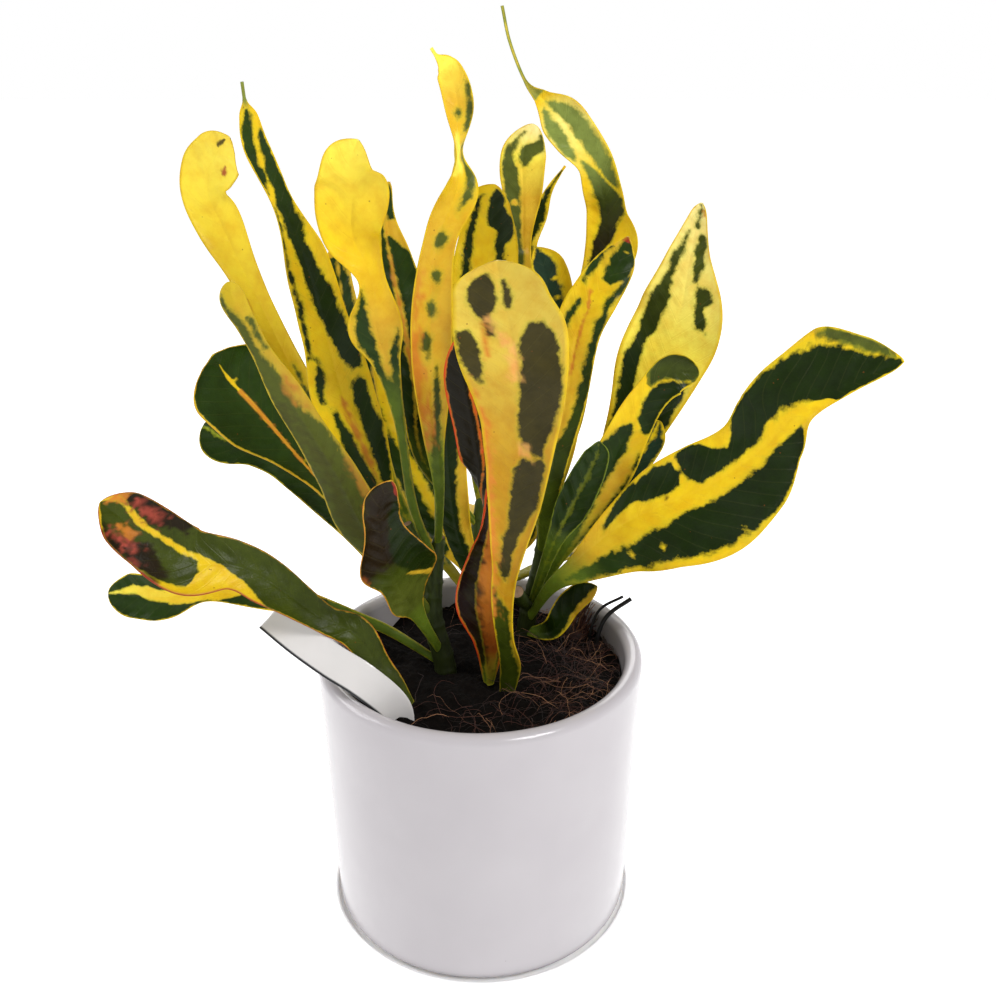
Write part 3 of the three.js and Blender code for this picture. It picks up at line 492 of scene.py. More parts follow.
# What the table of leaves gives for each one:
# stem: the stem that it grows from and the place on it; without one it grows out of the soil.
# rows: its midrib as seen from the viewpoint, in millimetres across and up in the plane of the
#   looked-at point and back from the pot's axis; the half width, or the left and the right one;
#   the turn about the midrib and the fold of each half, in degrees. Places count the rows from 0
#   in the soil, or from 1 where place 0 is the foot in the stem.
# pale, dark: the tone of the two kinds of tissue, at places along the leaf.
# green: its dark patches as (place, low, high) across the blade, where -1 is the left margin, 1
#   the right one and more than 1 takes the margin in. Without it the leaf has the usual pattern.
# spots: small round ones as (kind, place, across, radius in millimetres).
# tints: a tone, how softly it fades in millimetres, and its patch.
# stalk: the stalk's tone. edge: the margin's width and tone. crisp: how much sharper than usual
#   the patches end. wave: the size of the margin's waves. underside: how dull the underside is.
#   skyward: the face is turned to the sky and not to the viewpoint.
leaves = {
    "leaf_hook_left": dict(
        stem=("stem_left", 2.35),
        rows=[
            (-44, -14, 14, 2, -10, 10), (-61, 17, 22, 4.1, -11, 20), (-76, 44, 28, 5.6, -12, 20),
            (-92, 76, 34, 5.4, -14, 20), (-106, 105, 38, (9.3, 8.7), -15, 15),
            (-111, 117, 38, (9.9, 7.3), -16, 12), (-110, 126, 36, (10.5, 10.5), -18, 12),
            (-107, 133, 33, (7.9, 11.6), -19, 12), (-103, 138, 30, (5.9, 8.5), -20, 12)],
        pale=[(0, "gold"), (3, "yellow"), (9, "bright")],
        dark=[(0, "olive")],
        green=[[(1.4, -0.6, 0.9), (2.2, -0.4, 0.6), (3.2, 0.2, 0.3)]],
        tints=[
            ("brown", 0.5, [(8.15, -0.2, -0.1), (8.5, -0.28, 0.02), (8.75, -0.15, -0.1)]),
            ("red", 0.5, [(7.0, 0.45, 0.55), (7.3, 0.4, 0.6), (7.7, 0.45, 0.5)]),
            ("red", 0.6, [(3.9, -0.75, -0.7), (4.1, -0.8, -0.62)])]),
    "leaf_tall_left": dict(
        stem=("stem_left", 2.7),
        rows=[
            (-38, -16, 9, 2.6, 15, 5), (-46, 6, 10, 6.2, 16, 10), (-58, 34, 8, 12.5, 17, 12),
            (-66, 62, 6, 10, 17, 12), (-74, 90, 3, 8.2, 18, 15), (-83, 113, 0, 4.5, 29, 20),
            (-93, 134, -2, 4.5, 20, 20), (-96, 146, -4, 3.4, 20, 20), (-97, 152, -5, 0.7, 21, 5),
            (-98, 159, -6, 0.5, 22, 5)],
        pale=[(0, "gold"), (2.5, "yellow"), (8.2, "yellow"), (9, "sage")],
        dark=[(0, "green"), (5, "deep"), (7, "green")],
        green=[
            [(1.2, -0.5, -0.2), (1.6, -0.65, -0.15), (2, -0.7, -0.12), (2.5, -0.82, -0.2),
             (2.75, -0.55, -0.2), (3.05, -0.5, -0.35)],
            [(3.2, -0.78, -0.62), (3.5, -0.74, -0.4), (3.75, -0.62, -0.5)],
            [(3.8, -0.95, -0.75), (4.5, -0.85, -0.65), (5.3, -0.95, -0.8), (6, -1.1, -0.8)],
            [(1.2, 0.25, 0.8), (2, 0.28, 0.95), (2.5, 0.33, 0.95), (3, 0.3, 0.85), (3.35, 0.35, 0.8)],
            [(3.5, 0.4, 0.8), (3.75, 0.3, 0.95), (4, 0.1, 0.85), (4.5, -0.15, 0.78), (5, -0.3, 0.45),
             (5.3, -0.35, 0.3), (5.6, -0.45, 0.7), (6, -0.5, 0.95), (6.4, -0.1, 1.2), (7, 0.3, 1.2),
             (7.5, 0.75, 1.2)],
            [(6.2, -1.1, -0.75), (6.5, -1.1, -0.35), (7, -1.1, 0), (7.5, -0.9, 0.2), (8, -0.6, 0.3),
             (8.4, -0.1, 0.1)]],
        tints=[("orange", 2.0, [(1, -0.1, 0.25), (2.2, -0.1, 0.15), (3.2, -0.05, 0)])]),
    "leaf_flame": dict(
        stem=("stem_left", 3.3),
        rows=[
            (-33, -2, 0, 1.8, -8, 0), (-38, 30, -4, 2, -8, 0), (-43, 52, -8, 5.1, -9, 10),
            (-47, 66, -12, 9.6, -10, 15), (-49, 84, -15, 5.1, 30, 10), (-56, 101, -18, 9.6, -10, 10),
            (-56, 118, -22, 12.2, -11, 10), (-57, 128, -25, 8.7, -12, 10),
            (-54, 137, -27, 6.1, -12, 10)],
        pale=[(0, "gold"), (4, "gold"), (6, "yellow"), (9, "bright")],
        dark=[(0, "leaf"), (3, "green")],
        green=[
            [(0, -1.2, 1.2), (2.4, -1.2, 1.2), (2.7, -1, 0)],
            [(2.6, -0.9, -0.2), (3, -0.95, -0.35), (3.5, -0.85, -0.2), (4, -0.75, -0.2),
             (4.5, -0.75, -0.4), (4.85, -0.9, -0.8)],
            [(2.4, 0.2, 0.9), (3, 0.3, 0.92), (3.5, 0.5, 0.85), (3.9, 0.8, 0.85)]]),
    "leaf_dark_behind_flame": dict(
        stem=("stem_middle", 3.3),
        rows=[
            (-29, 15, 28, 3, 10, 10), (-32, 44, 34, 7.2, 13, 15), (-36, 70, 40, 9.9, 16, 15),
            (-40, 92, 44, 6.3, 19, 15), (-43, 108, 46, 3.2, 22, 15), (-42, 121, 46, 2.2, 25, 15)],
        pale=[(0, "gold")],
        dark=[(0, "deep"), (4, "green")],
        green=[
            [(0, -1.2, -0.07), (4, -1.2, -0.35), (5, -1.2, -0.7)],
            [(0, 0.07, 1.2), (3, 0, 1.2), (4, -0.2, 1.2), (4.5, -0.3, 0)],
            [(4.9, 0.1, 1), (6, -0.6, 1)]],
        tints=[("orange", 1.0, [(2, -0.1, 0.1), (4, -0.35, -0.2), (4.6, -0.4, -0.3)])]),
    "leaf_small_dark_left": dict(
        stem=("stem_left", 3.0),
        rows=[
            (-42, 8, 20, 3.1, -15, 10), (-52, 42, 26, 6.3, -18, 15), (-58, 66, 31, 7.4, -20, 15),
            (-61, 84, 35, 5.4, -22, 15), (-63, 97, 38, 4.4, -25, 15)],
        pale=[(0, "gold")],
        dark=[(0, "green")],
        green=[
            [(0, -0.9, -0.1), (2, -0.85, -0.1), (3, -0.8, -0.05), (4.6, -0.7, 0)],
            [(0, 0.1, 0.9), (3, 0.1, 0.8), (4, 0.1, 0.7), (4.8, 0.2, 0.5)]]),
    "leaf_spotted_tall": dict(
        stem=("stem_left", 3.75),
        rows=[
            (-23, 3, -2, 2, 8, 0), (-25, 24, -7, 4, 9, 15), (-26, 49, -11, 7.1, 9, 20),
            (-26, 76, -14, 7.1, 10, 20), (-23, 100, -15, 5.9, 21, 20), (-16, 119, -15, 7.1, 41, 10),
            (-16, 134, -14, 4.6, 72, 5), (-16, 152, -13, 4.9, 12, 10), (-19, 162, -14, 4.6, 13, 10),
            (-21, 166, -15, 3.1, 14, 5), (-24, 169, -16, 0.7, 14, 5), (-26, 172, -16, 0.5, 15, 5)],
        pale=[(0, "lime"), (1.7, "lime"), (2.3, "gold"), (5, "gold"), (6.5, "yellow"), (8, "gold"),
              (10, "bright")],
        dark=[(0, "leaf"), (3, "leaf"), (4, "olive")],
        green=[
            [(0, -1.2, 1.2), (1.2, -1.2, 1.2), (1.8, -0.4, 0.7), (2.4, 0.1, 0.5), (3.1, 0.25, 0.35)],
            [(5.5, 0.4, 0.5), (6, 0.35, 0.85), (6.5, 0.55, 1.1), (7, 0.75, 1.2), (7.2, 1, 1.2)],
            [(7.35, 0.5, 0.9), (8, 0.6, 0.95), (8.5, 0.85, 0.95)]],
        spots=[("green", 3.2, -0.2, 0.9), ("green", 3.42, -0.22, 1.9), ("green", 3.88, 0.05, 1.5),
               ("green", 4.35, 0.22, 1.8), ("green", 4.97, 0.12, 2.3), ("green", 7.7, 0, 1.4)],
        tints=[
            ("orange", 3.0, [(1.9, -1.2, -0.2), (2.6, -1, -0.4), (4.4, -1, -0.6)]),
            ("bright", 1.5, [(6.3, -0.7, 0.1), (7, -0.9, 0.5), (7.3, -0.5, 0.1)])]),
    "leaf_olive_hook": dict(
        stem=("stem_left", 2.0),
        rows=[
            (-38, -28, -8, 3, 180, 5), (-52, -10, -18, 8.5, 180, 20), (-61, 8, -26, 7.5, 180, 25),
            (-71, 24, -33, 6, 180, 25), (-81, 40, -38, 5.5, 180, 25), (-90, 55, -41, 3.4, 180, 20),
            (-96, 66, -43, 3.4, 180, 20), (-101, 75, -44, 4.2, 180, 20), (-103, 83, -43, 4, 180, 10)],
        pale=[(0, "gold"), (6, "gold"), (8, "yellow")],
        dark=[(0, "leaf"), (5, "leaf")],
        green=[
            [(0, -1.2, 1.2), (2.5, -0.7, 1.2), (3, -0.75, 1.2), (4, -0.88, 1.2), (4.5, -0.4, 1.2),
             (5.2, -0.15, 1.2), (5.6, -0.25, 1.2), (6, 0.05, 1.2), (6.4, 0.3, 1.2), (6.8, 0.15, 1.0),
             (7.3, 0.3, 1.0), (8, 0.6, 1.0), (8.5, 0.85, 1.0)],
            [(6.1, -0.85, -0.3), (6.6, -0.85, -0.2), (7.3, -0.6, -0.35)]],
        tints=[
            ("umber", 4.0, [(1.5, -0.2, 0.6), (3, 0, 0.7), (5, 0.3, 0.8)]),
            ("umber", 1.0, [(2.6, 0.88, 1.2), (5, 0.9, 1.2), (8, 0.92, 1.2)]),
            ("orange", 2.0, [(2.4, -0.9, -0.6), (3, -0.95, -0.6), (3.3, -0.9, -0.8)]),
            ("orange", 2.5, [(4.6, -0.5, -0.3), (5, -0.5, 0), (5.4, -0.5, -0.2)])]),
    "leaf_round_left": dict(
        stem=("stem_left", 1.7), crisp=3.5, edge=(0.7, "gold"),
        rows=[
            (-48, -16, 6, (2.5, 3.1), 15, 5), (-66, 4, 2, (3.5, 6.2), 16, 10),
            (-80, 20, -4, (9, 10.4), 16, 15), (-92, 34, -10, (16.5, 15.7), 17, 15),
            (-103, 46, -16, (17.3, 15.7), 17, 10), (-109, 55, -22, 13.7, 18, 5)],
        pale=[(0, "gold"), (4, "yellow")],
        dark=[(0, "leaf"), (3, "green")],
        green=[
            [(0, -0.9, -0.05), (3, -0.95, -0.05), (5.2, -0.97, -0.04), (5.7, -1, 0)],
            [(0, 0.06, 1.2), (3, 0.05, 1.2), (5.2, 0.04, 1.2), (5.7, 0, 1.2)],
            [(5.6, -1.2, 1.2), (6, -1.2, 1.2)]],
        spots=[("pale", 4.85, 0.07, 0.9), ("pale", 2.6, 0.2, 0.6)],
        tints=[("orange", 0.3, [(0.5, -0.06, 0.07), (2.5, -0.06, 0.06), (4.6, -0.05, 0.05)])]),
    "leaf_wavy_low_left": dict(
        stem=("stem_left", 1.4),
        rows=[
            (-46, -24, 16, 3.1, -15, 5), (-60, -6, 20, 6.2, -16, 10), (-76, 9, 24, 6.8, -17, 10),
            (-92, 19, 28, 6.8, -18, 10), (-105, 23, 30, 9, -19, 10), (-113, 28, 32, 8.5, -20, 10)],
        pale=[(0, "gold"), (4, "lime")],
        dark=[(0, "green")],
        green=[
            [(0, -1.1, -0.06), (6, -1.1, -0.05)],
            [(0, 0.06, 1.1), (5.2, 0.08, 1.1), (6, 0.2, 0.9)]]),
    "leaf_over_rim": dict(
        crisp=1.8, stalk="leaf", edge=(0.35, "red"),
        rows=[
            (-34, -78, -27, 2, 10, 0), (-40, -70, -26, 3.6, 10, 5), (-47, -62, -25, 5.1, 11, 10),
            (-55, -51, -24, 6.6, 11, 15), (-68, -45, -23, 5.6, 12, 15),
            (-88, -31, -24, (10, 8.2), 12, 15), (-102, -25, -27, 9.2, 12, 10),
            (-119, -24, -31, 12.8, 13, 10), (-134, -14, -34, 11.8, 13, 10),
            (-144, -7, -36, 10.3, 14, 10), (-152, -1, -38, 7.2, 14, 10)],
        pale=[(0, "gold"), (7, "yellow"), (10, "gold")],
        dark=[(0, "leaf"), (10, "leaf")],
        green=[
            [(0, -1.2, 1.2), (4.7, -1.2, 1.2), (5, -0.8, 1.2), (5.4, -0.55, 1.2), (6, -0.3, 1.2),
             (6.3, 0.05, 1.2), (6.7, 0.3, 1.2), (7.5, 0.35, 1.2), (8, 0.28, 1.2), (8.5, 0.35, 1.1),
             (9, 0.5, 1.1), (9.6, 0.85, 1.0)],
            [(6.75, -0.2, 0.1), (6.9, -0.7, 0.17), (7.3, -0.8, 0.17), (8, -1, 0.1), (8.5, -1, 0.1),
             (9, -0.95, 0.25), (9.5, -0.8, 0.5), (10, -0.4, 0.4)]],
        tints=[
            ("maroon", 2.0, [(7.3, -0.95, -0.5), (7.8, -1, -0.1), (8.4, -1.1, -0.4),
                             (9.4, -1.1, -0.7)]),
            ("maroon", 2.0, [(7.3, 0.7, 1.1), (8.1, 0.35, 1.1), (9.4, 0.6, 1.1)]),
            ("rose", 4.0, [(8.0, -0.75, -0.5), (8.4, -0.8, -0.2), (8.8, -0.8, -0.3),
                           (9.1, -0.7, -0.6)]),
            ("rose", 3.0, [(8.0, 0.55, 0.65), (8.5, 0.5, 0.7), (9.0, 0.65, 0.8)]),
            ("orange", 1.5, [(8.3, -0.4, -0.1), (8.7, -0.5, -0.1), (9, -0.3, -0.2)]),
            ("orange", 1.5, [(9.3, 0.6, 1), (9.8, 0.3, 1)])]),
    "leaf_under_rim_leaf": dict(
        stem=("stem_left", 0.9), crisp=1.6,
        rows=[
            (-40, -51, 6, 2, -10, 0), (-54, -45, 9, 2.5, -11, 5), (-72, -40, 12, (4.1, 5.1), -11, 10),
            (-88, -38, 15, (4.6, 7.2), -12, 10), (-111, -35, 18, (4.1, 8.2), -12, 10),
            (-127, -37, 20, (9.2, 9.2), -13, 10), (-139, -37, 22, (8.7, 10.3), -13, 10),
            (-149, -36, 24, 7.2, -14, 10)],
        pale=[(0, "gold"), (5, "yellow"), (8, "bright")],
        dark=[(0, "light"), (2, "leaf"), (3, "green")],
        green=[
            [(0, -1.2, 1.2), (4, -1.2, 1.2), (4.8, -1.2, -0.9), (5.2, -1.2, -0.85), (5.6, -1.2, -0.6),
             (6, -1.2, -0.3), (6.5, -1.2, -0.1), (7, -1.2, 0.1), (8, -1.2, 0.12)],
            [(4.6, 0.4, 1.2), (5, 0.3, 1.2), (6, 0.3, 1.2), (6.5, 0.5, 1.2), (7, 0.5, 1.2),
             (7.6, 0.3, 1.2), (8, 0.24, 1.2)]]),
    "leaf_small_brown": dict(
        stem=("stem_left", 1.15), wave=0.8, crisp=3.0, underside=0.3, edge=(0.3, "orange"),
        rows=[
            (-31, -44, -12, 3.1, 12, 5), (-36, -37, -20, (8, 10), 13, 15),
            (-40, -30, -27, (7.5, 17), 14, 25), (-43, -22, -32, (12.5, 15), 16, 25),
            (-45, -11, -36, (8.5, 8), 22, 25), (-45, -1, -40, (6.8, 6.3), 22, 20),
            (-41, 7, -42, (4.8, 4.3), 18, 10)],
        pale=[(0, "lime"), (3, "gold")],
        dark=[(0, "leaf"), (2, "olive"), (3.2, "leaf"), (4, "umber"), (7, "umber")],
        green=[[(0, -1.2, 1.2), (7, -1.2, 1.2)]],
        tints=[
            ("brown", 2.5, [(3.7, -1.1, 0.1), (5, -0.9, 0.4), (6.6, -0.6, 0.6)]),
            ("rust", 1.0, [(3.6, -1.2, -0.85), (4.1, -1.2, -0.9)]),
            ("deep", 1.0, [(2.6, 0.75, 1.0), (2.9, 0.35, 1.0), (3.5, 0.15, 1.0), (4.4, 0.15, 1.2),
                           (5.2, 0.35, 1.2), (6.2, 0.8, 1.2)]),
            ("gold", 0.3, [(2.35, 0.85, 1.1), (2.5, 0.75, 1.1), (2.65, 0.5, 0.72), (2.9, 0.28, 0.4)]),
            ("red", 0.5, [(6.5, 0.7, 1.2), (6.85, 0.4, 1.2), (7, -0.3, 1.2)])]),
    "leaf_front": dict(
        wave=1.5, stalk="leaf",
        rows=[
            (2, -73, -14, (2, 4), -6, 5), (3, -62, -17, (3, 5.5), -7, 10),
            (3, -52, -20, (4.5, 2.5), -7, 20), (2, -38, -25, (5, 3.5), -8, 20),
            (4, -23, -30, (6.6, 4.5), -8, 20), (6, 0, -35, 9.6, -9, 15), (8, 23, -41, 12.2, -10, 12),
            (7, 46, -47, 16.2, -10, 10), (4, 65, -52, 17.8, -11, 10),
            (1, 80, -56, (15.3, 14.3), -11, 10), (-1, 91, -58, 14.3, -12, 10)],
        pale=[(0, "gold"), (3, "ochre"), (5.5, "ochre"), (8, "straw"), (10, "straw")],
        dark=[(0, "deep"), (2.5, "leaf"), (4, "bark"), (8, "bark")],
        green=[
            [(0, -1.2, 1.2), (0.9, -1.2, 0.9), (1.4, -1.2, 0.5), (2.2, -1.2, 0.5), (2.7, -1.2, 0.5),
             (2.95, -1.2, -0.3), (3.3, -1.2, -0.8)],
            [(3.5, -0.2, 0.05), (3.7, -0.5, 0.05), (4, -0.6, 0.1), (4.3, -0.45, 0.3), (4.6, -0.2, 0.6),
             (5, -0.2, 0.85), (5.5, -0.1, 0.85), (5.72, 0.1, 0.8)],
            [(5.8, 0.2, 0.7), (5.95, 0, 0.7), (6.3, -0.05, 0.85), (6.8, 0, 0.9), (7.3, 0.1, 0.85),
             (7.8, 0.15, 0.75), (8.1, 0.35, 0.6)],
            [(7.9, -0.4, -0.3), (8.3, -0.5, -0.3), (8.7, -0.7, -0.15), (9.2, -0.7, -0.15),
             (9.6, -0.5, -0.3)],
            [(8.5, 0, 0.1), (8.9, 0, 0.15), (9.3, 0.02, 0.1)],
            [(7.0, -0.85, -0.7), (7.4, -0.92, -0.62), (7.8, -0.95, -0.62), (8.1, -0.92, -0.75)]],
        tints=[
            ("orange", 2.0, [(2.6, -1.2, -0.6), (4, -1.2, -0.7), (5.5, -1.2, -0.8),
                             (7.5, -1.2, -0.95)]),
            ("peach", 1.0, [(5.72, 0.0, 0.4), (5.95, -0.05, 0.2)]),
            ("orange", 1.0, [(7.5, -0.5, -0.46), (7.8, -0.52, -0.4), (8.2, -0.5, -0.4)]),
            ("peach", 2.5, [(7.0, -0.08, 0), (7.6, -0.05, 0.05), (8.0, -0.3, -0.2),
                            (8.3, -0.4, -0.35)])]),
    "leaf_red_edged": dict(
        crisp=1.8, underside=0.1, edge=(0.8, "flame"),
        rows=[
            (-4, -70, -8, 2, 0, 0), (-4, -54, -11, 6, 0, 15), (-4, -38, -13, (13, 9), 0, 20),
            (-3, -19, -14, 8.5, 0, 20), (-4, -6, -15, 4.5, 40, 10), (-7, 4, -16, 4.5, 110, 10),
            (-8, 15, -18, 6.5, 180, 10), (-10, 28, -21, 7, 180, 15), (-14, 46, -24, 6.5, 180, 15),
            (-15.5, 62, -26, 4, 180, 15)],
        pale=[(0, "gold"), (0.8, "rust"), (2.5, "orange"), (4, "rust"), (6, "flame")],
        dark=[(0, "umber"), (1.5, "maroon"), (5, "soot")],
        green=[
            [(0, -1.2, -0.5), (1, -1.2, -0.45), (3, -1.2, -0.4), (4, -1.2, -0.15), (5, -1.2, -0.3),
             (9, -1.2, -0.35)],
            [(0, 0.7, 1.2), (3.4, 0.75, 1.2), (4, 0.3, 1.2), (5, -0.2, 1.2), (9, -0.15, 1.2)]],
        tints=[
            ("umber", 3.0, [(0.5, -0.7, -0.3), (2, -0.6, -0.3), (3, -0.8, -0.4)]),
            ("flame", 1.2, [(6.2, -1.2, -0.7), (7, -1.2, -0.6), (7.8, -1.2, -0.75), (8.6, -1.2, -1)])]),
    "leaf_blotched_behind": dict(
        stem=("stem_middle", 3.85),
        rows=[
            (-8, 10, 38, 3, -10, 10), (-8, 45, 42, 8.2, -12, 10), (-6, 75, 46, 12.4, -15, 15),
            (-4, 97, 48, 12.5, -17, 15), (-3, 113, 48, 8.5, -20, 10), (-2, 120, 47, 6.5, -22, 10)],
        pale=[(0, "gold"), (4, "yellow")],
        dark=[(0, "deep")],
        green=[
            [(0.5, -0.8, -0.3), (2, -0.85, -0.4), (3, -0.7, -0.4), (4.2, -0.8, -0.55), (5, -0.72, -0.5),
             (5.3, -0.55, -0.45)],
            [(0.5, 0.3, 0.8), (2, 0.3, 0.85), (3.5, 0.3, 0.6), (4, 0.2, 0.5), (4.3, 0.3, 0.9),
             (4.4, 0, 0.9), (4.6, -0.1, 0.95), (5, -0.05, 0.6), (5.5, 0, 0.8), (5.8, 0.1, 0.5)]]),
    "leaf_pale_behind": dict(
        stem=("stem_middle", 3.55),
        rows=[
            (9, 20, 46, 3, 10, 10), (9, 60, 54, 6.1, 12, 10), (9, 95, 60, 3.1, 15, 10),
            (9, 115, 62, (8.4, 7.1), 17, 15), (9, 131, 62, (10.1, 8.7), 20, 15),
            (13, 143, 61, 7.5, 22, 10)],
        pale=[(0, "gold"), (4, "gold"), (5, "bright"), (6, "cream")],
        dark=[(0, "green"), (4, "olive")],
        green=[
            [(0, -0.9, 0.9), (2, -0.9, 0.4), (3.2, -0.8, -0.3), (3.6, -0.9, -0.2), (4, -0.95, -0.15),
             (4.5, -0.9, -0.2), (5, -0.8, -0.4), (5.4, -0.65, -0.45), (5.7, -0.45, -0.4)],
            [(4.7, 0, 0.25), (5, -0.2, 0.4), (5.3, 0, 0.9), (5.6, 0.6, 1), (5.75, 0.85, 1)]],
        spots=[("pale", 3.9, -0.5, 1.8)]),
    "leaf_narrow_behind": dict(
        stem=("stem_middle", 3.05),
        rows=[
            (7, 12, 54, 3, 0, 10), (10, 50, 64, 5, 0, 10), (10, 85, 72, 7, 0, 15),
            (9, 97, 75, 6, 0, 15), (15, 108, 75, 3.5, 0, 10), (19, 118, 74, 1.5, 0, 10),
            (25, 127, 73, 0.6, 0, 5)],
        pale=[(0, "yellow")],
        dark=[(0, "deep")],
        green=[
            [(0, -1.2, 0.5), (3.2, -1.2, 0.5), (4, -1.1, 0.7), (5, -1.0, 0.6), (6, -0.8, 0.6),
             (6.8, -0.5, 0.4)]]),
    "leaf_dark_yellow_edge": dict(
        stem=("stem_right", 3.4),
        rows=[
            (14, 2, 36, 2.5, 10, 10), (14, 24, 38, 4.1, 12, 10), (17, 55, 37, 8.2, 14, 10),
            (19, 76, 36, (5.2, 9.4), 16, 10), (17, 88, 35, (5.3, 8.4), 18, 10),
            (14, 96, 34, 4.3, 20, 10)],
        pale=[(0, "yellow")],
        # Toward the tip the dark tissue turns blue-grey: a painted sheen.
        dark=[(0, "deep"), (4, "painted_sheen")],
        green=[
            [(0, -0.9, 0.8), (3.7, -0.9, 0.7), (4.2, -0.9, 0.55), (4.6, -0.85, 0.45), (5, -0.8, 0.6),
             (5.6, -0.75, 0.4), (6, -0.5, 0.4)]],
        spots=[("pale", 4.05, 0.3, 0.8), ("pale", 4.55, 0.35, 1.4)]),
    "leaf_dark_centre": dict(
        stem=("stem_middle", 2.3),
        rows=[
            (-12, -24, 24, 4.5, 10, 10), (-17, -8, 20, 6, 10, 10), (-20, 20, 18, 7.2, 12, 10),
            (-20, 45, 18, 6.2, 15, 10), (-21, 70, 18, 4.2, 18, 10), (-21, 84, 18, 3.2, 20, 10)],
        pale=[(0, "gold")],
        dark=[(0, "deep")],
        green=[[(0, -1.2, 0.7), (2, -1.2, 0.3), (2.5, -1.2, 0.35), (3.2, -1.2, 0.7), (6, -1.2, 0.8)]]),
    "leaf_spiral": dict(
        stem=("stem_right", 3.85),
        rows=[
            (25, 20, 24, 4, 0, 10), (30, 60, 25, 6, 0, 15), (39.5, 85, 25, 8.5, -10, 15),
            (42, 98, 24, (8.5, 11.5), -20, 15), (41, 109, 23, (7.5, 8.5), -24, 20),
            (39, 118, 21, 7, 0, 20), (35, 129, 19, 7, 20, 20), (28, 139, 16, 8, 10, 20),
            (22, 147, 13, 7.5, 0, 20), (16, 153, 11, 3, 0, 15), (10, 159, 9, 0.6, 0, 5),
            (4, 174, 6, 0.5, 0, 5), (1, 188, 4, 0.5, 0, 5)],
        pale=[(0, "gold"), (4, "yellow"), (6.5, "yellow"), (8.5, "butter"), (10, "yellow"),
              (11, "sage")],
        dark=[(0, "green"), (4, "umber"), (5.8, "leaf"), (7, "sage"), (10, "sage"), (11.5, "straw")],
        green=[
            [(2.5, -0.85, -0.3), (2.9, -0.9, -0.6), (3.5, -0.75, -0.3), (4, -0.7, 0), (4.5, -0.5, 0.3),
             (5, -0.4, 0.8), (5.6, -0.38, 0.85), (6, -0.4, 0.5), (6.5, -0.45, 0.13), (7, -0.55, -0.3),
             (7.3, -0.6, -0.5)],
            [(5.9, 0.75, 0.85), (6.2, 0.5, 0.85), (6.6, 0.2, 0.85), (7, 0.1, 0.85), (7.5, 0.0, 0.85),
             (8, 0.0, 0.82), (8.5, 0.05, 0.8), (9, 0.0, 0.65), (9.5, -0.05, 0.4), (9.8, -0.1, 0.1)],
            [(7.4, -0.8, -0.6), (8.1, -0.9, -0.3), (8.7, -0.88, -0.25), (9.2, -0.8, -0.3),
             (9.6, -0.6, -0.4)],
            [(10.2, -1.2, 1.2), (13, -1.2, 1.2)]]),
    "leaf_red_tipped": dict(
        stem=("stem_right", 3.0),
        rows=[
            (20, 10, 9, 5, -8, 10), (26, 40, 7, 7.6, -9, 10), (30, 64, 5, 8.6, -10, 10),
            (37, 78, 3, 8.7, -12, 10), (45, 90, 2, 7.2, -13, 10), (49, 100, 1, 3.1, -14, 10)],
        pale=[(0, "lime"), (1.5, "gold"), (4, "yellow"), (6, "gold")],
        dark=[(0, "leaf"), (3, "green")],
        green=[
            [(0, -1.2, 1.2), (0.8, -0.6, 1.2), (1.3, -0.2, 1.2), (1.6, 0.4, 1.2), (2.2, 0.5, 1.2),
             (3, 0.62, 1), (3.5, 0.6, 0.95), (4, 0.5, 0.75), (4.5, 0.65, 0.95), (5, 0.9, 1)],
            [(2.8, -0.9, -0.75), (3, -0.82, -0.5), (3.3, -0.7, -0.4), (3.7, -0.5, -0.42)],
            [(4.1, -0.8, -0.65), (4.5, -1.1, -0.7), (5.5, -1.1, -0.88)],
            [(4.4, -0.2, 0.3), (4.7, -0.3, 0.6), (5, -0.4, 0.9), (5.5, -0.4, 1.1), (6, -0.4, 1.2)]],
        spots=[("pale", 5.45, 0.3, 1.3)],
        tints=[
            ("orange", 0.9, [(2.3, -0.05, 0.05), (3, 0.05, 0.17), (3.5, -0.02, 0.1),
                             (4, -0.35, -0.25)]),
            ("red", 1.2, [(5.82, -1.2, 1.2), (6, -1.2, 1.2)])]),
    "leaf_yellow_right": dict(
        stem=("stem_right", 2.75),
        rows=[
            (35, -4, 34, 3.1, -12, 10), (50, 24, 38, 11.3, -14, 10), (61, 50, 42, 17.7, -16, 10),
            (69, 72, 44, (16.8, 18.9), -18, 10), (73, 94, 45, 8.5, -20, 10),
            (76, 108, 45, 3.8, -22, 10), (77, 113, 45, 2.2, -24, 10)],
        pale=[(0, "gold"), (2, "yellow"), (3.3, "bright"), (7, "cream")],
        dark=[(0, "green"), (3, "deep"), (6, "olive")],
        green=[
            [(0.6, -0.9, -0.3), (1.3, -0.9, -0.4), (1.7, -0.85, -0.7), (2.2, -0.85, -0.45),
             (3, -0.85, -0.5), (3.3, -0.75, -0.55), (3.6, -0.8, -0.4), (4.2, -0.8, -0.35),
             (4.5, -0.7, -0.5), (5, -0.7, -0.35), (5.5, -0.45, -0.4)],
            [(0.8, 0.3, 0.9), (1.6, 0.5, 0.95), (2.4, 0.5, 0.9), (2.9, 0.6, 0.8)],
            [(3.8, 0.42, 0.6), (3.95, 0.35, 0.6), (4.1, 0.3, 0.45), (4.25, 0.28, 0.72),
             (4.42, 0.35, 0.7)],
            [(4.5, 0.2, 0.32), (4.8, 0.2, 0.6), (5.2, 0.25, 0.82), (5.4, 0.3, 0.82), (5.46, 0.5, 0.6)],
            [(5.6, -0.05, 0.2), (6, -0.1, 0.4), (6.5, 0, 0.5), (6.9, 0.1, 0.4)]],
        tints=[("orange", 1.5, [(6, 0.6, 0.9), (6.4, 0.6, 1)])]),
    "leaf_curled_tip": dict(
        stem=("stem_right", 1.9),
        rows=[
            (27, -16, 12, 3, 10, 10), (40, 8, 14, 8.7, 11, 15), (50, 28, 16, 8.2, 12, 15),
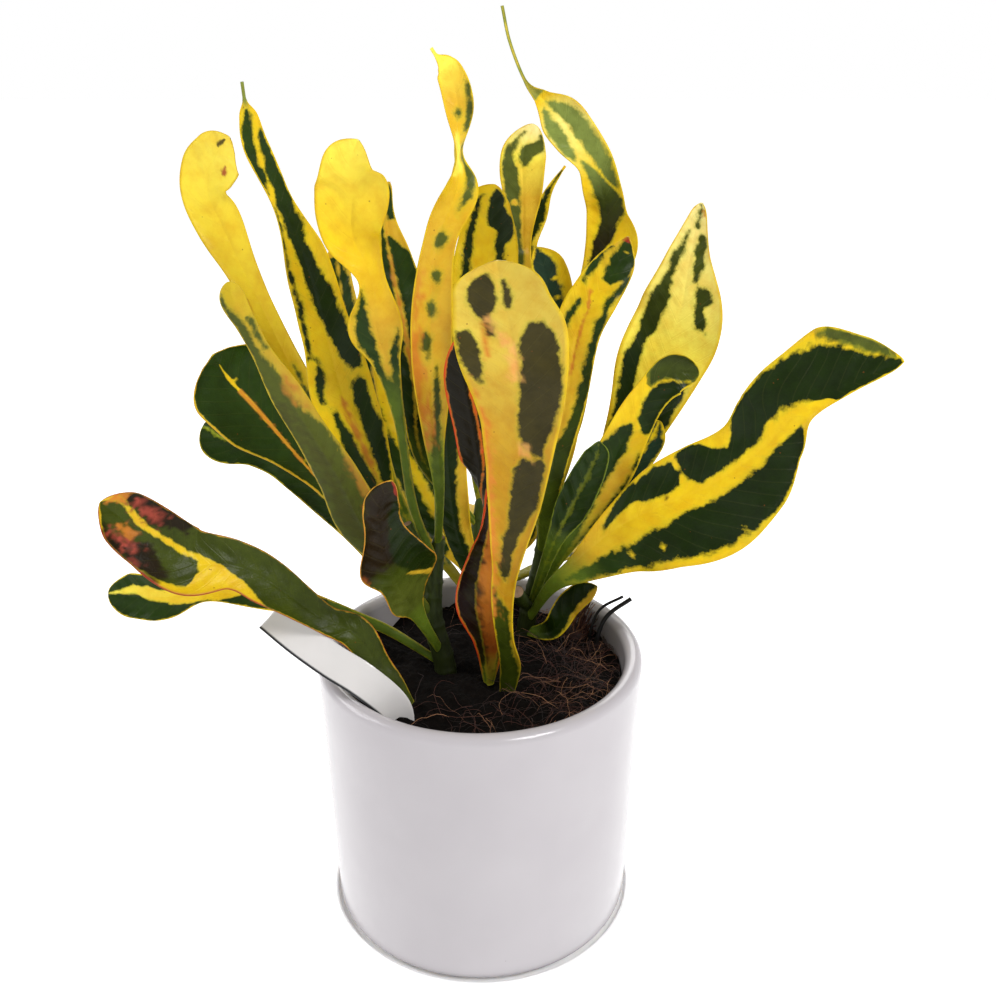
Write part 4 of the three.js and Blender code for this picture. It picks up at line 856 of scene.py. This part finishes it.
            (58, 41, 18, 7.2, 22, 20), (66, 48, 19, 8.2, 13, 25), (76, 48, 19, 6.2, 14, 20)],
        pale=[(0, "lime"), (2, "gold"), (3, "yellow")],
        dark=[(0, "leaf"), (2, "green"), (4, "deep")],
        green=[
            [(0, -1.2, 1.2), (0.8, -1.2, 0.4), (1.4, -1.2, 0.15), (2, -1.2, 0.1), (2.5, -0.9, 0.25),
             (2.9, -0.4, 0.2), (3.05, -0.1, 0.1)],
            [(1, 0.85, 1.2), (2.6, 0.85, 1.2)],
            [(3, 0.6, 0.9), (3.2, 0.15, 1.05), (3.5, 0, 1.2), (4, -0.12, 1.2), (4.3, -0.05, 1.2),
             (5, 0.42, 1.2), (5.5, 0.55, 1.2), (5.9, 0.85, 1.2)],
            [(4.15, -0.4, -0.25), (4.4, -0.8, -0.1), (5, -1.2, 0.3), (6, -1.2, 0.7)]],
        tints=[
            ("leaf", 0.8, [(4.1, -0.5, -0.2), (4.4, -1.2, -0.08), (5, -1.2, 0.33), (6, -1.2, 0.8)])]),
    "leaf_dark_right": dict(
        stem=("stem_right", 2.2),
        rows=[
            (36, -5, 19, 2.5, 0, 10), (48, 10, 24, 6, 0, 10), (57, 22, 28, 6, 0, 10),
            (61, 30, 30, 4, 0, 10)],
        pale=[(0, "yellow")],
        # Toward the tip the dark tissue turns blue-grey: a painted sheen.
        dark=[(0, "deep"), (3, "painted_sheen")],
        green=[[(0, -1.2, -0.1), (4, -1.2, -0.1)], [(0, 0.1, 0.9), (3.2, 0.1, 0.9), (4, 0.1, 0.4)]]),
    "leaf_big_right": dict(
        stem=("stem_right", 1.2), wave=1.5,
        rows=[
            (20, -33, 10, 2.8, -6, 5), (29, -24, 5, (3, 9.1), -7, 10),
            (45, -11, 0, (8.1, 19.1), -7, 10), (61, -3, -5, (15.1, 24.2), -8, 8),
            (78, 4, -9, (17.2, 26.3), -8, 5), (95, 15, -13, (15.2, 21.3), -9, 5),
            (106, 25, -16, (18.3, 12.2), -10, 10), (115, 35, -18, (19.3, 6.1), -10, 10),
            (132, 43, -21, (22.4, 3.1), -11, 10), (145, 49, -23, (13.2, 2.5), -11, 10),
            (154, 53, -24, (5.1, 2), -12, 10)],
        pale=[(0, "light"), (1.3, "light"), (2.1, "gold"), (3.2, "yellow")],
        dark=[(0, "leaf"), (2, "green"), (4, "deep")],
        green=[
            [(1.5, 0.4, 0.6), (2, 0.35, 0.9), (2.5, 0.4, 0.92), (3, 0.4, 0.88), (3.3, 0.4, 0.92),
             (3.6, 0.3, 0.85), (4, 0.3, 0.85), (4.5, 0.2, 0.87), (5, 0.2, 0.85), (5.5, 0.2, 0.9),
             (6, 0.2, 0.95), (6.5, 0.2, 0.97), (7, 0.3, 1), (7.3, 0.4, 0.95), (7.6, 0.6, 0.7)],
            [(2.8, -0.6, -0.3), (3.2, -0.9, -0.5), (3.5, -1, -0.5), (3.8, -0.9, -0.3),
             (4.2, -0.92, -0.2), (4.55, -0.85, -0.3), (4.62, -0.6, -0.5)],
            [(4.72, -1, -0.35), (5, -1.1, -0.15), (5.3, -1, -0.15), (5.6, -0.65, -0.2),
             (5.8, -0.55, -0.2), (6.2, -0.9, -0.2), (6.5, -1.1, -0.2), (7, -1.1, -0.3),
             (7.5, -1.1, -0.25), (8, -0.95, -0.1), (8.3, -0.9, 0), (8.6, -0.8, 0.4), (8.8, -0.75, 1.2),
             (9, -0.7, 1.2), (10, -0.5, 1.2), (10.6, -0.42, 1.2), (10.9, -0.3, 1.2)],
            [(8.9, -0.95, -0.88), (9.5, -1.05, -0.68), (10, -1, -0.58), (10.6, -0.9, -0.5)]],
        spots=[("pale", 3.0, 0.62, 1.2), ("pale", 3.8, 0.62, 1.0), ("pale", 5.3, 0.75, 0.9)],
        tints=[
            ("brown", 0.6, [(4.17, -0.17, -0.12), (4.22, -0.18, -0.1)]),
            ("olive", 0.6, [(8.85, -1.2, -0.86), (9.5, -1.2, -0.66), (10, -1.2, -0.55),
                            (10.8, -1.2, -0.4)])]),
    "leaf_below_big": dict(
        stem=("stem_right", 0.9),
        rows=[
            (20, -50, 14, (5, 3.5), 0, 10), (27, -41, 12, (6.5, 4), 0, 10),
            (33, -36, 11, (6, 3.5), 0, 10), (37, -33, 10, (4, 2.5), 0, 10)],
        pale=[(0, "lime"), (2, "gold")],
        dark=[(0, "deep")],
        green=[[(0, -1.2, 1.2), (1.4, -1.2, 0.7), (2, -1.2, 0.5), (3, -1.2, 0.15), (4, -1.2, -0.1)]]),
    "leaf_green_centre": dict(
        stem=("stem_right", 1.55), edge=(0.3, "light"),
        rows=[
            (20, -18, 7, 3, 0, 10), (27, -4, 6, 6.5, 0, 15), (33, 8, 4, 6.5, 0, 15),
            (37, 17, 2, 5, 0, 15), (38, 22, 1, 3, 0, 15)],
        pale=[(0, "leaf")],
        dark=[(0, "deep"), (5, "green")],
        green=[
            [(0, -1.2, -0.1), (3, -1.2, -0.08), (5, -0.9, -0.05)],
            [(0, 0.1, 1.2), (3, 0.1, 1.2), (5, 0.1, 0.9)]]),
    "leaf_back_left": dict(
        stem=("stem_middle", 2.1),
        rows=[
            (-22, -10, 42, 8, 0, 10), (-34, 14, 52, 10, 0, 10), (-42, 36, 62, 11, 0, 15),
            (-50, 52, 72, 11, 0, 15), (-58, 70, 78, 7, 0, 15)]),
    "leaf_back_middle": dict(
        stem=("stem_middle", 2.75),
        rows=[
            (0, 10, 56, 4, 0, 10), (4, 40, 70, 10, 0, 15), (6, 68, 80, 12, 0, 15),
            (6, 88, 86, 8, 0, 15)]),
    "leaf_back_right": dict(
        stem=("stem_middle", 2.45),
        rows=[
            (8, -14, 46, 6, 0, 10), (15, 8, 56, 8, 0, 10), (24, 32, 66, 9, 0, 15),
            (28, 60, 76, 9, 0, 15), (29, 78, 82, 6, 0, 15)]),
    "leaf_back_low": dict(
        stem=("stem_middle", 1.2), skyward=True,
        rows=[
            (-8, -20, 58, 4, 0, 10), (-10, -8, 78, 11, 0, 15), (-10, -2, 96, 13, 0, 15),
            (-9, -6, 112, 9, 0, 15)]),
    "leaf_back_low_left": dict(
        stem=("stem_middle", 1.5), skyward=True,
        rows=[
            (-28, -16, 52, 4, 0, 10), (-45, 0, 70, 9, 0, 15), (-55, 7, 88, 9, 0, 15),
            (-61, 7, 102, 6, 0, 15)]),
    "leaf_back_low_right": dict(
        stem=("stem_middle", 1.8), skyward=True,
        rows=[
            (24, -22, 50, 4, 0, 10), (38, -12, 64, 9, 0, 15), (50, -8, 78, 9, 0, 15),
            (59, -12, 90, 6, 0, 15)]),
}

# Measures shared by all the blades, in millimetres where they are lengths. Stations crowd toward
# the tip and columns toward the midrib.
blade_stations = 160
blade_columns = 29
station_crowding = 0.35
column_crowding = 1.35
blade_thickness = 0.6
margin_thickness = 0.35
stalk_thickness = 2.6
stalk_half = 1.5
narrowest = 0.5
vein_spacing = 6.5
vein_lean = 1.1
veins_apart = 37.0
vein_wander = 3.0
wander_size = 14.0
usual_wave = 1.1
wave_length = 38.0
wave_lag = 1.9
phase_step = 1.7
full_wave_half = 10.0
swell_size = 9.0
swell_height = 1.6
swell_start = 5.0
margin_curl = 1.1
full_curl_half = 8.0
tip_ridge = 0.25
foot_ridge = 0.9
ridge_half = 1.0
groove_depth = 0.22
groove_half = 0.7
quilt_height = 0.16
stalk_tint = 0.7
strongest_tint = 0.9
cloud_size = 2.6
cloud_share = 1.2
speckle_size = 1.1
speckle_share = 1.3
rim_steepness = 3.0


def seen(across, up, back):
    """The point seen that far across and up in the plane of the looked-at point, carried along its
    sight line to a depth behind the pot's axis."""
    across, up, back = (np.asarray(v, float) for v in (across, up, back))
    sight = np.stack([across, up * np.sin(eye_tilt) + eye_distance * np.cos(eye_tilt),
                      up * np.cos(eye_tilt) - eye_distance * np.sin(eye_tilt)], axis=-1)
    return eye + sight * ((back - eye[1]) / sight[..., 1])[..., None]


def leaf_form(leaf, phase=0.0):
    """The blade's middle surface, its normals and its measures on a grid of place by column. The
    midrib is a smooth curve; across it each half bends toward the face along a circular arc, its
    margin waves as the sine of the length, and the last span rounds off like an ellipse's end. A
    square one, the label, has neither waves nor a rounded end."""
    rows = leaf["rows"]
    square = leaf.get("square", False)
    midrib = seen(*np.array([row[:3] for row in rows], float).T)
    halves = np.array([np.broadcast_to(row[3], 2) for row in rows], float)
    turns = [row[4] for row in rows]
    cups = [row[5] for row in rows]
    if "stem" in leaf:
        stem_name, stem_place = leaf["stem"]
        root = through(np.array(stems[stem_name], float)[:, :3], np.array([stem_place]))
        midrib = np.concatenate([root, midrib])
        halves = np.concatenate([[[stalk_half, stalk_half]], halves])
        turns = [turns[0]] + turns
        cups = [0] + cups
    spans = len(midrib) - 1
    share = np.linspace(0, 1, blade_stations)
    if not square:
        share = share * (1 + station_crowding * (share - share ** 3))
    place = spans * share
    centre = through(midrib, place)
    along = directions(midrib, place)
    toward = np.array([0.0, 0.0, 1.0]) if leaf.get("skyward") else eye - centre
    facing = toward - along * np.sum(along * toward, axis=1)[:, None]
    facing /= np.linalg.norm(facing, axis=1)[:, None]
    turn = np.radians(through(turns, place))[:, None]
    face = facing * np.cos(turn) + np.cross(along, facing) * np.sin(turn)
    side = np.cross(along, face)
    into_last = np.maximum(0, place - (spans - 1))
    round_off = 1.0 if square else np.sqrt(np.maximum(0, 1 - into_last ** 2))[:, None]
    half = np.maximum(narrowest, through(halves, place) * round_off)
    cup = np.radians(np.maximum(1.0, through(cups, place)))[:, None]
    column = np.linspace(-1, 1, blade_columns)
    v = np.sign(column) * np.abs(column) ** column_crowding
    reach = np.where(v > 0, half[:, 1:], half[:, :1])
    slope = cup * np.abs(v)
    out = np.sign(v) * reach * np.sin(slope) / cup
    rise = reach * (1 - np.cos(slope)) / cup
    widest = half.max()
    length = np.concatenate([[0], np.cumsum(np.linalg.norm(np.diff(centre, axis=0), axis=1))])[:, None]
    if not square:
        across = v * reach
        swing = np.sin(2 * np.pi * length / wave_length + phase + np.where(v > 0, wave_lag, 0))
        wave = leaf.get("wave", usual_wave) * np.minimum(1, widest / full_wave_half)
        ripple = wave * (reach / widest) * v * v * swing
        swell = lattice_noise(length, across + 80, swell_size, int(10 * phase)) - 0.5
        curl = margin_curl * np.minimum(1, reach / full_curl_half) * v ** 6
        rise = rise + ripple + swell_height * swell * np.clip(np.abs(across) / swell_start, 0, 1) + curl
    normal = face[:, None] * np.cos(slope)[..., None]
    normal = normal - side[:, None] * (np.sign(v) * np.sin(slope))[..., None]
    points = centre[:, None] + side[:, None] * out[..., None] + face[:, None] * rise[..., None]
    return dict(points=points, normal=normal, place=place[:, None], v=v, reach=reach, half=half,
                middle=half.mean(axis=1)[:, None], length=length, spans=spans, square=square,
                per_place=length[-1, 0] / spans)


def side_veins(form):
    """Each point's place along the row of side veins and its distance from the midrib. The veins
    lean toward the tip: their place is the length less vein_lean times the distance, with a slow
    wander."""
    offset = np.abs(form["v"]) * form["reach"]
    wander = vein_wander * lattice_noise(form["length"], offset + 40, wander_size, 6)
    return form["length"] - vein_lean * offset + wander, offset


def leaf_shell(form):
    """The two faces of a leaf as one closed loop of points at each station: the face from left to
    right and the underside back again. The blade thins to its margin, carries a ridge under the
    midrib and low quilting between its side veins, and is round where it is a stalk."""
    v, place = form["v"], form["place"]
    along, offset = side_veins(form)
    stalk = np.clip(1.5 - form["half"][:, :1] / 4, 0, 1) * (place < form["spans"] / 2)
    stalk = 0 * stalk if form["square"] else stalk
    blade = margin_thickness + (blade_thickness - margin_thickness) * (1 - v ** 4)
    round_body = stalk_thickness * np.sqrt(np.maximum(0, 1 - v ** 2)) + 0.3
    thickness = blade * (1 - stalk) + round_body * stalk
    relief = 0 if form["square"] else 1 - stalk
    fade = np.clip(1 - place / form["spans"], 0, 1)
    ridge = relief * (tip_ridge + foot_ridge * fade) * np.exp(-(offset / ridge_half) ** 2)
    groove = relief * groove_depth * np.exp(-(offset / groove_half) ** 2)
    vein = np.cos(2 * np.pi * along / vein_spacing)
    quilt = relief * quilt_height * vein * np.clip(offset / 3, 0, 1) * (1 - v ** 6)
    lift = form["normal"] * (thickness / 2 - groove + quilt)[..., None]
    drop = form["normal"] * (thickness / 2 + ridge - quilt)[..., None]
    return np.concatenate([form["points"] + lift, (form["points"] - drop)[:, ::-1]], axis=1)


def zone_field(form, keys):
    """How far inside a patch each point lies, in millimetres and negative outside it. The patch
    runs between a low and a high place across the blade, both given at places along it."""
    along, low, high = np.array(keys, float).T
    place, v = form["place"], form["v"]
    inside = np.minimum(v - np.interp(place, along, low), np.interp(place, along, high) - v)
    beyond = np.maximum(along[0] - place, place - along[-1]) * form["per_place"]
    return np.minimum(inside * form["middle"], -beyond)


def spot_distance(form, place, across):
    """Millimetres from each point to a spot at that place along and across the blade."""
    return np.hypot((form["place"] - place) * form["per_place"], (form["v"] - across) * form["middle"])


def tone_along(form, keys):
    """The colour at each station, blended between the named tones at their places."""
    at = [key[0] for key in keys]
    colours = np.array([tones[key[1]] for key in keys])
    return np.stack([np.interp(form["place"], at, colours[:, c]) for c in range(3)], axis=-1)


def plain_pattern(form, seed):
    """The usual pattern of a leaf that shows no marks of its own: a yellow midrib and margin with
    green bands whose edges wander, broken here and there."""
    draw = np.random.default_rng(seed)
    count = 9
    places = np.linspace(0.6, form["spans"] - 0.25, count)
    bands = []
    for sign in (-1, 1):
        inner = draw.uniform(0.12, 0.4, count)
        outer = draw.uniform(0.7, 1.0, count)
        outer[draw.integers(2, count - 2)] = 0.3
        outer[-1] = inner[-1]
        low, high = (inner, outer) if sign > 0 else (-outer, -inner)
        bands.append(list(zip(places, low, high)))
    return bands


def part_way(colour, aim, share):
    """The colour that share of the way to another."""
    return colour * (1 - share) + aim * share


def leaf_colours(form, leaf, seed):
    """Signed green field and the pale and dark colours on the leaf's grid: the patches and spots,
    then the stalk's tone, the tints with their uneven edges and last the margin's own tone."""
    green = leaf.get("green") or plain_pattern(form, seed)
    field = np.max([zone_field(form, keys) for keys in green], axis=0) * leaf.get("crisp", 1.0)
    ones = np.ones(field.shape)[..., None]
    pale = tone_along(form, leaf.get("pale", [(0, "gold"), (2, "yellow")])) * ones
    dark = tone_along(form, leaf.get("dark", [(0, "green")])) * ones
    for kind, place, across, radius in leaf.get("spots", []):
        inside = radius - spot_distance(form, place, across)
        field = np.maximum(field, inside) if kind == "green" else np.minimum(field, -inside)
    stalk = np.clip(2.2 - form["half"][:, :1] / 2.2, 0, 1) * (form["place"] < form["spans"] / 3)
    stalk_share = stalk_tint * stalk[..., None]
    stalk_tone = tones[leaf.get("stalk", "light")]
    pale = part_way(pale, stalk_tone, stalk_share)
    dark = part_way(dark, stalk_tone, stalk_share)
    across = form["v"] * form["reach"]
    cloud = lattice_noise(form["length"], across + 60, cloud_size, 20 + seed) - 0.5
    speckle = lattice_noise(form["length"], across + 60, speckle_size, 50 + seed) - 0.5
    for tone, soft, keys in leaf.get("tints", []):
        uneven = zone_field(form, keys) / soft + cloud_share * cloud + speckle_share * speckle
        amount = np.clip(0.5 + uneven, 0, 1)[..., None] * strongest_tint
        pale = part_way(pale, tones[tone], amount)
        dark = part_way(dark, tones[tone], amount)
    width, tone = leaf.get("edge", (0.4, "yellow"))
    rim = (1 - np.abs(form["v"])) * form["reach"]
    field = np.minimum(field, (rim - width) * rim_steepness)
    broad = np.clip(form["middle"] - 0.6, 0, 1)
    near = (np.clip(1.5 - rim / width, 0, 1) * (1 - stalk) * broad)[..., None]
    return field, part_way(pale, tones[tone], near), dark


def leaf_material():
    """Croton leaf: pale and dark tissue parted along the green field, whose edge is frayed along
    the side veins and by fine noise; mottled, specked, veined, with a waxy gloss. Where the parts
    meet, a halo of lime spreads into the pale one."""
    streak_reach, blot_reach, fray_reach = 1.3, 3.8, 0.7
    streak_squeeze = 0.16
    parting, halo_width, halo_share = 0.85, 0.5, 0.42
    vein_width, vein_share = 0.44, 0.025
    speck_size, speck_rarity, speck_share = 0.10, 0.58, 0.55
    paint, tree, shader = new_paint("croton_leaf")
    place = node(tree, "ShaderNodeTexCoord").outputs["Object"]
    parts = node(tree, "ShaderNodeSeparateXYZ", {0: read(tree, "vein", "Vector")})
    along, offset, under = parts.outputs["X"], parts.outputs["Y"], parts.outputs["Z"]

    streak_place = node(tree, "ShaderNodeCombineXYZ",
                        {"X": along, "Y": math(tree, "MULTIPLY", offset, streak_squeeze)}).outputs[0]
    shifted = node(tree, "ShaderNodeVectorMath", {0: streak_place, 1: place}, operation="ADD").outputs[0]
    streak = noise(tree, shifted, 0.6, 3.0, 0.6)
    blot = noise(tree, place, 260.0, 3.0, 0.55)
    fray = noise(tree, place, 1100.0, 3.0, 0.6)
    ragged = read(tree, "green")
    for roughness, reach in ((streak, streak_reach), (blot, blot_reach), (fray, fray_reach)):
        shift = math(tree, "MULTIPLY", math(tree, "SUBTRACT", roughness, 0.5), reach)
        ragged = math(tree, "ADD", ragged, shift)
    parted = math(tree, "ADD", math(tree, "MULTIPLY", ragged, parting), 0.5, clamp=True)
    halo = math(tree, "ADD", math(tree, "MULTIPLY", ragged, halo_width), 0.85, clamp=True)

    mottle = noise(tree, place, 150.0, 5.0, 0.6)
    patch = math(tree, "MULTIPLY", math(tree, "SUBTRACT", mottle, 0.4, clamp=True), 1.6, clamp=True)
    warm = mix(tree, patch, read(tree, "pale", "Color"), "e8c27a", "MULTIPLY")
    haloed = mix(tree, math(tree, "MULTIPLY", halo, halo_share), warm, "949c22")
    shade = mix(tree, patch, read(tree, "dark", "Color"), "8a8f5a", "MULTIPLY")
    tissue = mix(tree, parted, haloed, shade)

    row = math(tree, "FRACT", math(tree, "DIVIDE", along, vein_spacing))
    ribbing = math(tree, "ABSOLUTE", math(tree, "SUBTRACT", row, 0.5))
    crest = math(tree, "SUBTRACT", ribbing, vein_width, clamp=True)
    vein = math(tree, "MULTIPLY", crest, 10.0, clamp=True)
    veined = mix(tree, math(tree, "MULTIPLY", vein, vein_share), tissue, "c9c05a")
    grain = node(tree, "ShaderNodeTexVoronoi", {"Vector": place, "Scale": 330.0}).outputs["Distance"]
    speck = math(tree, "MULTIPLY", math(tree, "LESS_THAN", grain, speck_size),
                 math(tree, "GREATER_THAN", noise(tree, place, 140.0), speck_rarity))
    specked = mix(tree, math(tree, "MULTIPLY", speck, speck_share), veined, "6b3a12")

    height = math(tree, "MULTIPLY", vein, 0.6)
    for relief, share in ((noise(tree, place, 1400.0), 0.5), (noise(tree, place, 330.0), 0.9)):
        height = math(tree, "ADD", height, math(tree, "MULTIPLY", relief, share))
    rough = math(tree, "ADD", 0.30, math(tree, "ADD", math(tree, "MULTIPLY", mottle, 0.12),
                                         math(tree, "MULTIPLY", under, 0.25)))
    plug(tree, shader, {
        "Base Color": mix(tree, math(tree, "MULTIPLY", under, 0.4), specked, "5c6028"),
        "Roughness": rough, "Normal": bumped(tree, height, 0.35, 0.0006),
        "Specular IOR Level": 0.14})
    return paint


def both_faces(grid):
    """The grid of a leaf's face, and after it the same mirrored for the underside."""
    return np.concatenate([grid, grid[:, ::-1]], axis=1)


croton_leaf = leaf_material()
leaf_loop = 2 * blade_columns
leaf_last = (blade_stations - 1) * leaf_loop
leaf_faces = skin_faces(blade_stations, leaf_loop)[:, ::-1]
leaf_caps = []
for j in range(blade_columns - 1):
    mirror = leaf_loop - 1 - j
    leaf_caps.append((j + 1, j, mirror, mirror - 1))
    leaf_caps.append((leaf_last + j, leaf_last + j + 1, leaf_last + mirror - 1, leaf_last + mirror))

for number, (name, leaf) in enumerate(leaves.items()):
    form = leaf_form(leaf, phase=phase_step * number)
    piece = make_piece(name + "_blade", leaf_shell(form), leaf_faces, croton_leaf, [name],
                       leaf_caps)
    field, pale, dark = leaf_colours(form, leaf, number)
    store(piece, "green", both_faces(field))
    for shade_name, shade in (("pale", pale), ("dark", dark)):
        opaque = np.concatenate([shade, np.ones(shade.shape[:-1] + (1,))], axis=-1)
        store(piece, shade_name, both_faces(opaque), "FLOAT_COLOR", "color")
    along, offset = side_veins(form)
    faced = np.stack([along + veins_apart * number * vein_spacing, offset, 0 * offset], axis=-1)
    backed = faced[:, ::-1] + [0.0, 0.0, leaf.get("underside", 1.0)]
    store(piece, "vein", np.concatenate([faced, backed], axis=1), "FLOAT_VECTOR", "vector")


# Plant label: a plain strip of glossy white plastic, with a painted shadow darkening its outer
# edge, curled lengthwise and pushed into the soil so that it leans out over the rim. It is blank.
def label_material():
    """Glossy white plastic, faintly clouded, with a painted shadow darkening its outer edge."""
    paint, tree, shader = new_paint("label_plastic")
    place = node(tree, "ShaderNodeTexCoord").outputs["Object"]
    clouded = mix(tree, noise(tree, place, 40.0, 3.0), "c3c0be", "dad7d5")
    plug(tree, shader, {"Base Color": mix(tree, read(tree, "painted_edge_shadow"), clouded, "202224"),
                        "Roughness": 0.18})
    return paint


label = dict(square=True, rows=[
    (-36, -88, -37, 4, 0, 12), (-40, -79, -37, 6, 0, 12), (-52, -69, -37, 6.5, 0, 12),
    (-64, -61.5, -33, 6.5, 0, 12), (-76, -53, -25, 6.5, 0, 12), (-87, -44, -17, 6.5, 0, 12)])
label_form = leaf_form(label)
label_caps = [cap[::-1] for cap in rod_caps(blade_stations, leaf_loop)]
strip = make_piece("label_strip", leaf_shell(label_form), leaf_faces, label_material(), ["label"],
                   label_caps)
# A dark stripe of painted shadow runs along the label's outer edge.
edge_shadow_start = 0.86
edge_shadow_fade = 0.03
outer_side = np.clip((-label_form["v"] - edge_shadow_start) / edge_shadow_fade, 0, 1)
store(strip, "painted_edge_shadow", both_faces(outer_side + 0 * label_form["place"]))


# Wires: two cut ends of black plastic-covered wire that stick up out of the soil beside the rim.
def wire_material():
    """Black plastic sheath with a dull shine."""
    paint, tree, shader = new_paint("wire_sheath")
    place = node(tree, "ShaderNodeTexCoord").outputs["Object"]
    scuffed = mix(tree, noise(tree, place, 600.0, 3.0), "060606", "1c1a18")
    plug(tree, shader, {"Base Color": scuffed, "Roughness": 0.45, "Specular IOR Level": 0.25})
    return paint


wire_sheath = wire_material()
wires = {
    "wire_thin": [(45, 22, 98, 0.6), (46.5, 23, 113, 0.6), (50.5, 26, 121.5, 0.6), (60, 27, 127, 0.6)],
    "wire_thick": [(48, 17.5, 98, 0.9), (49, 18.5, 112, 0.9), (53, 21, 121, 0.9), (63, 24, 127.5, 0.9)],
}
wire_steps = 60
wire_sides = 16
for name, rows in wires.items():
    make_piece(name + "_sheath", rod_grid(rows, wire_steps, wire_sides),
               skin_faces(wire_steps, wire_sides), wire_sheath, [name],
               rod_caps(wire_steps, wire_sides))


# Roots and coir: a tuft of fine roots that stands up at the right, and loose coconut fibres that
# lie tangled on the soil there.
def fibre_material():
    """Coconut fibre and fine root: reddish brown to straw, from one thread to the next."""
    paint, tree, shader = new_paint("coir")
    tone = ramp(tree, read(tree, "shade"), [(0.0, "140a06"), (0.7, "4c261a"), (1.0, "ad7f5a")])
    plug(tree, shader, {"Base Color": tone, "Roughness": 0.7})
    return paint


def threads(paths, radius):
    """Thin four-sided tubes along many paths at once: at each step the four corners lie a radius
    from the path, along two directions at right angles to it. The radius halves to the end."""
    count, steps = paths.shape[:2]
    along = np.gradient(paths, axis=1)
    along /= np.linalg.norm(along, axis=2)[..., None]
    side = np.cross(along, [0.13, 0.21, 1.0])
    side /= np.linalg.norm(side, axis=2)[..., None] + 1e-9
    front = np.cross(side, along)
    taper = radius[:, None] * np.linspace(1.0, 0.5, steps)
    corners = [paths + taper[..., None] * way for way in (side, front, -side, -front)]
    points = np.stack(corners, axis=2)
    one = skin_faces(steps, 4)[:, ::-1]
    size = steps * 4
    faces = (one[None] + (np.arange(count) * size)[:, None, None]).reshape(-1, 4)
    ends = [(0, 1, 2, 3), (size - 1, size - 2, size - 3, size - 4)]
    caps = [tuple(k * size + c for c in end) for k in range(count) for end in ends]
    return points, faces, caps


coir = fibre_material()
draw = np.random.default_rng(11)
fibre_count = 400
fibre_steps = 12
fibre_start = 54.0
fibre_edge = 56.3
fibre_lift = 0.3
fibre_humps = (0.0, 4.5)
fibre_radii = (0.07, 0.14)
start_angle = draw.normal(-0.1, 0.95, fibre_count)[:, None]
start_reach = fibre_start * np.sqrt(draw.uniform(0.25, 1.0, fibre_count))[:, None]
heading = draw.uniform(0, 2 * np.pi, fibre_count)[:, None]
bends = draw.normal(0, 0.22, (fibre_count, fibre_steps)) + draw.normal(0, 0.08, (fibre_count, 1))
way = heading + np.cumsum(bends, axis=1)
step_length = draw.uniform(0.8, 2.6, fibre_count)[:, None]
x = start_reach * np.cos(start_angle) + np.cumsum(step_length * np.cos(way), axis=1)
y = start_reach * np.sin(start_angle) + np.cumsum(step_length * np.sin(way), axis=1)
keep_in = np.minimum(1.0, fibre_edge / np.hypot(x, y))
x, y = x * keep_in, y * keep_in
bow = np.sin(np.pi * np.linspace(0, 1, fibre_steps)) ** 0.8
hump = draw.uniform(*fibre_humps, fibre_count)[:, None] * bow
fibre_paths = np.stack([x, y, soil_height(x, y) + fibre_lift + hump], axis=-1)
fibre_points, fibre_faces, fibre_caps = threads(fibre_paths, draw.uniform(*fibre_radii, fibre_count))
coir_piece = make_piece("coir_fibres", fibre_points, fibre_faces, coir, [], fibre_caps)
fibre_shade = draw.uniform(0, 1, fibre_count) ** 1.3
store(coir_piece, "shade", np.repeat(fibre_shade, fibre_steps * 4))

ball_x, ball_y = 41.0, 30.0
ball_rows = [(ball_x, ball_y, 98, 5.0), (ball_x, ball_y, 106, 4.9), (ball_x, ball_y, 110, 3.6),
             (ball_x, ball_y, 112, 1.0)]
ball_steps = 40
ball_sides = 32
root_count = 70
root_steps = 14
root_foot = 103.0
root_lean = 3.5
root_heights = (8.0, 28.0)
root_radii = (0.2, 0.55)
tuft_spread = 4.2
golden_angle = 2.39996
climb = np.linspace(0, 1, root_steps)
root_angle = golden_angle * np.arange(root_count)[:, None]
root_out = tuft_spread * np.sqrt(np.arange(root_count) / root_count)[:, None]
root_rise = draw.uniform(*root_heights, root_count)[:, None] * (1 - 0.45 * root_out / tuft_spread)
wander = np.cumsum(draw.normal(0, 0.28, (2, root_count, root_steps)), axis=2)
flare = root_out * (1 + 0.35 * climb)
root_x = ball_x + flare * np.cos(root_angle) + wander[0] + root_lean * climb ** 2
root_y = ball_y + flare * np.sin(root_angle) + wander[1]
root_paths = np.stack([root_x, root_y, root_foot + root_rise * climb], axis=-1)
root_points, root_faces, root_caps = threads(root_paths, draw.uniform(*root_radii, root_count))


def lobes(place, angle):
    """Nine low lobes round the root ball that twist as they climb: a sine of angle and place."""
    return 0.35 * np.sin(9 * angle + 14 * place)


ball = rod_grid(ball_rows, ball_steps, ball_sides, lobes).reshape(-1, 3)
ball_count = len(ball)
tuft_points = np.concatenate([ball, root_points.reshape(-1, 3)])
tuft_faces = np.concatenate([skin_faces(ball_steps, ball_sides), root_faces + ball_count])
tuft_caps = rod_caps(ball_steps, ball_sides) + [tuple(ball_count + c for c in cap) for cap in root_caps]
tuft = make_piece("root_tuft_threads", tuft_points, tuft_faces, coir, ["root_tuft"], tuft_caps)
ball_shade = np.full(ball_count, 0.2)
root_shade = np.repeat(draw.uniform(0.4, 0.95, root_count), root_steps * 4)
store(tuft, "shade", np.concatenate([ball_shade, root_shade]))
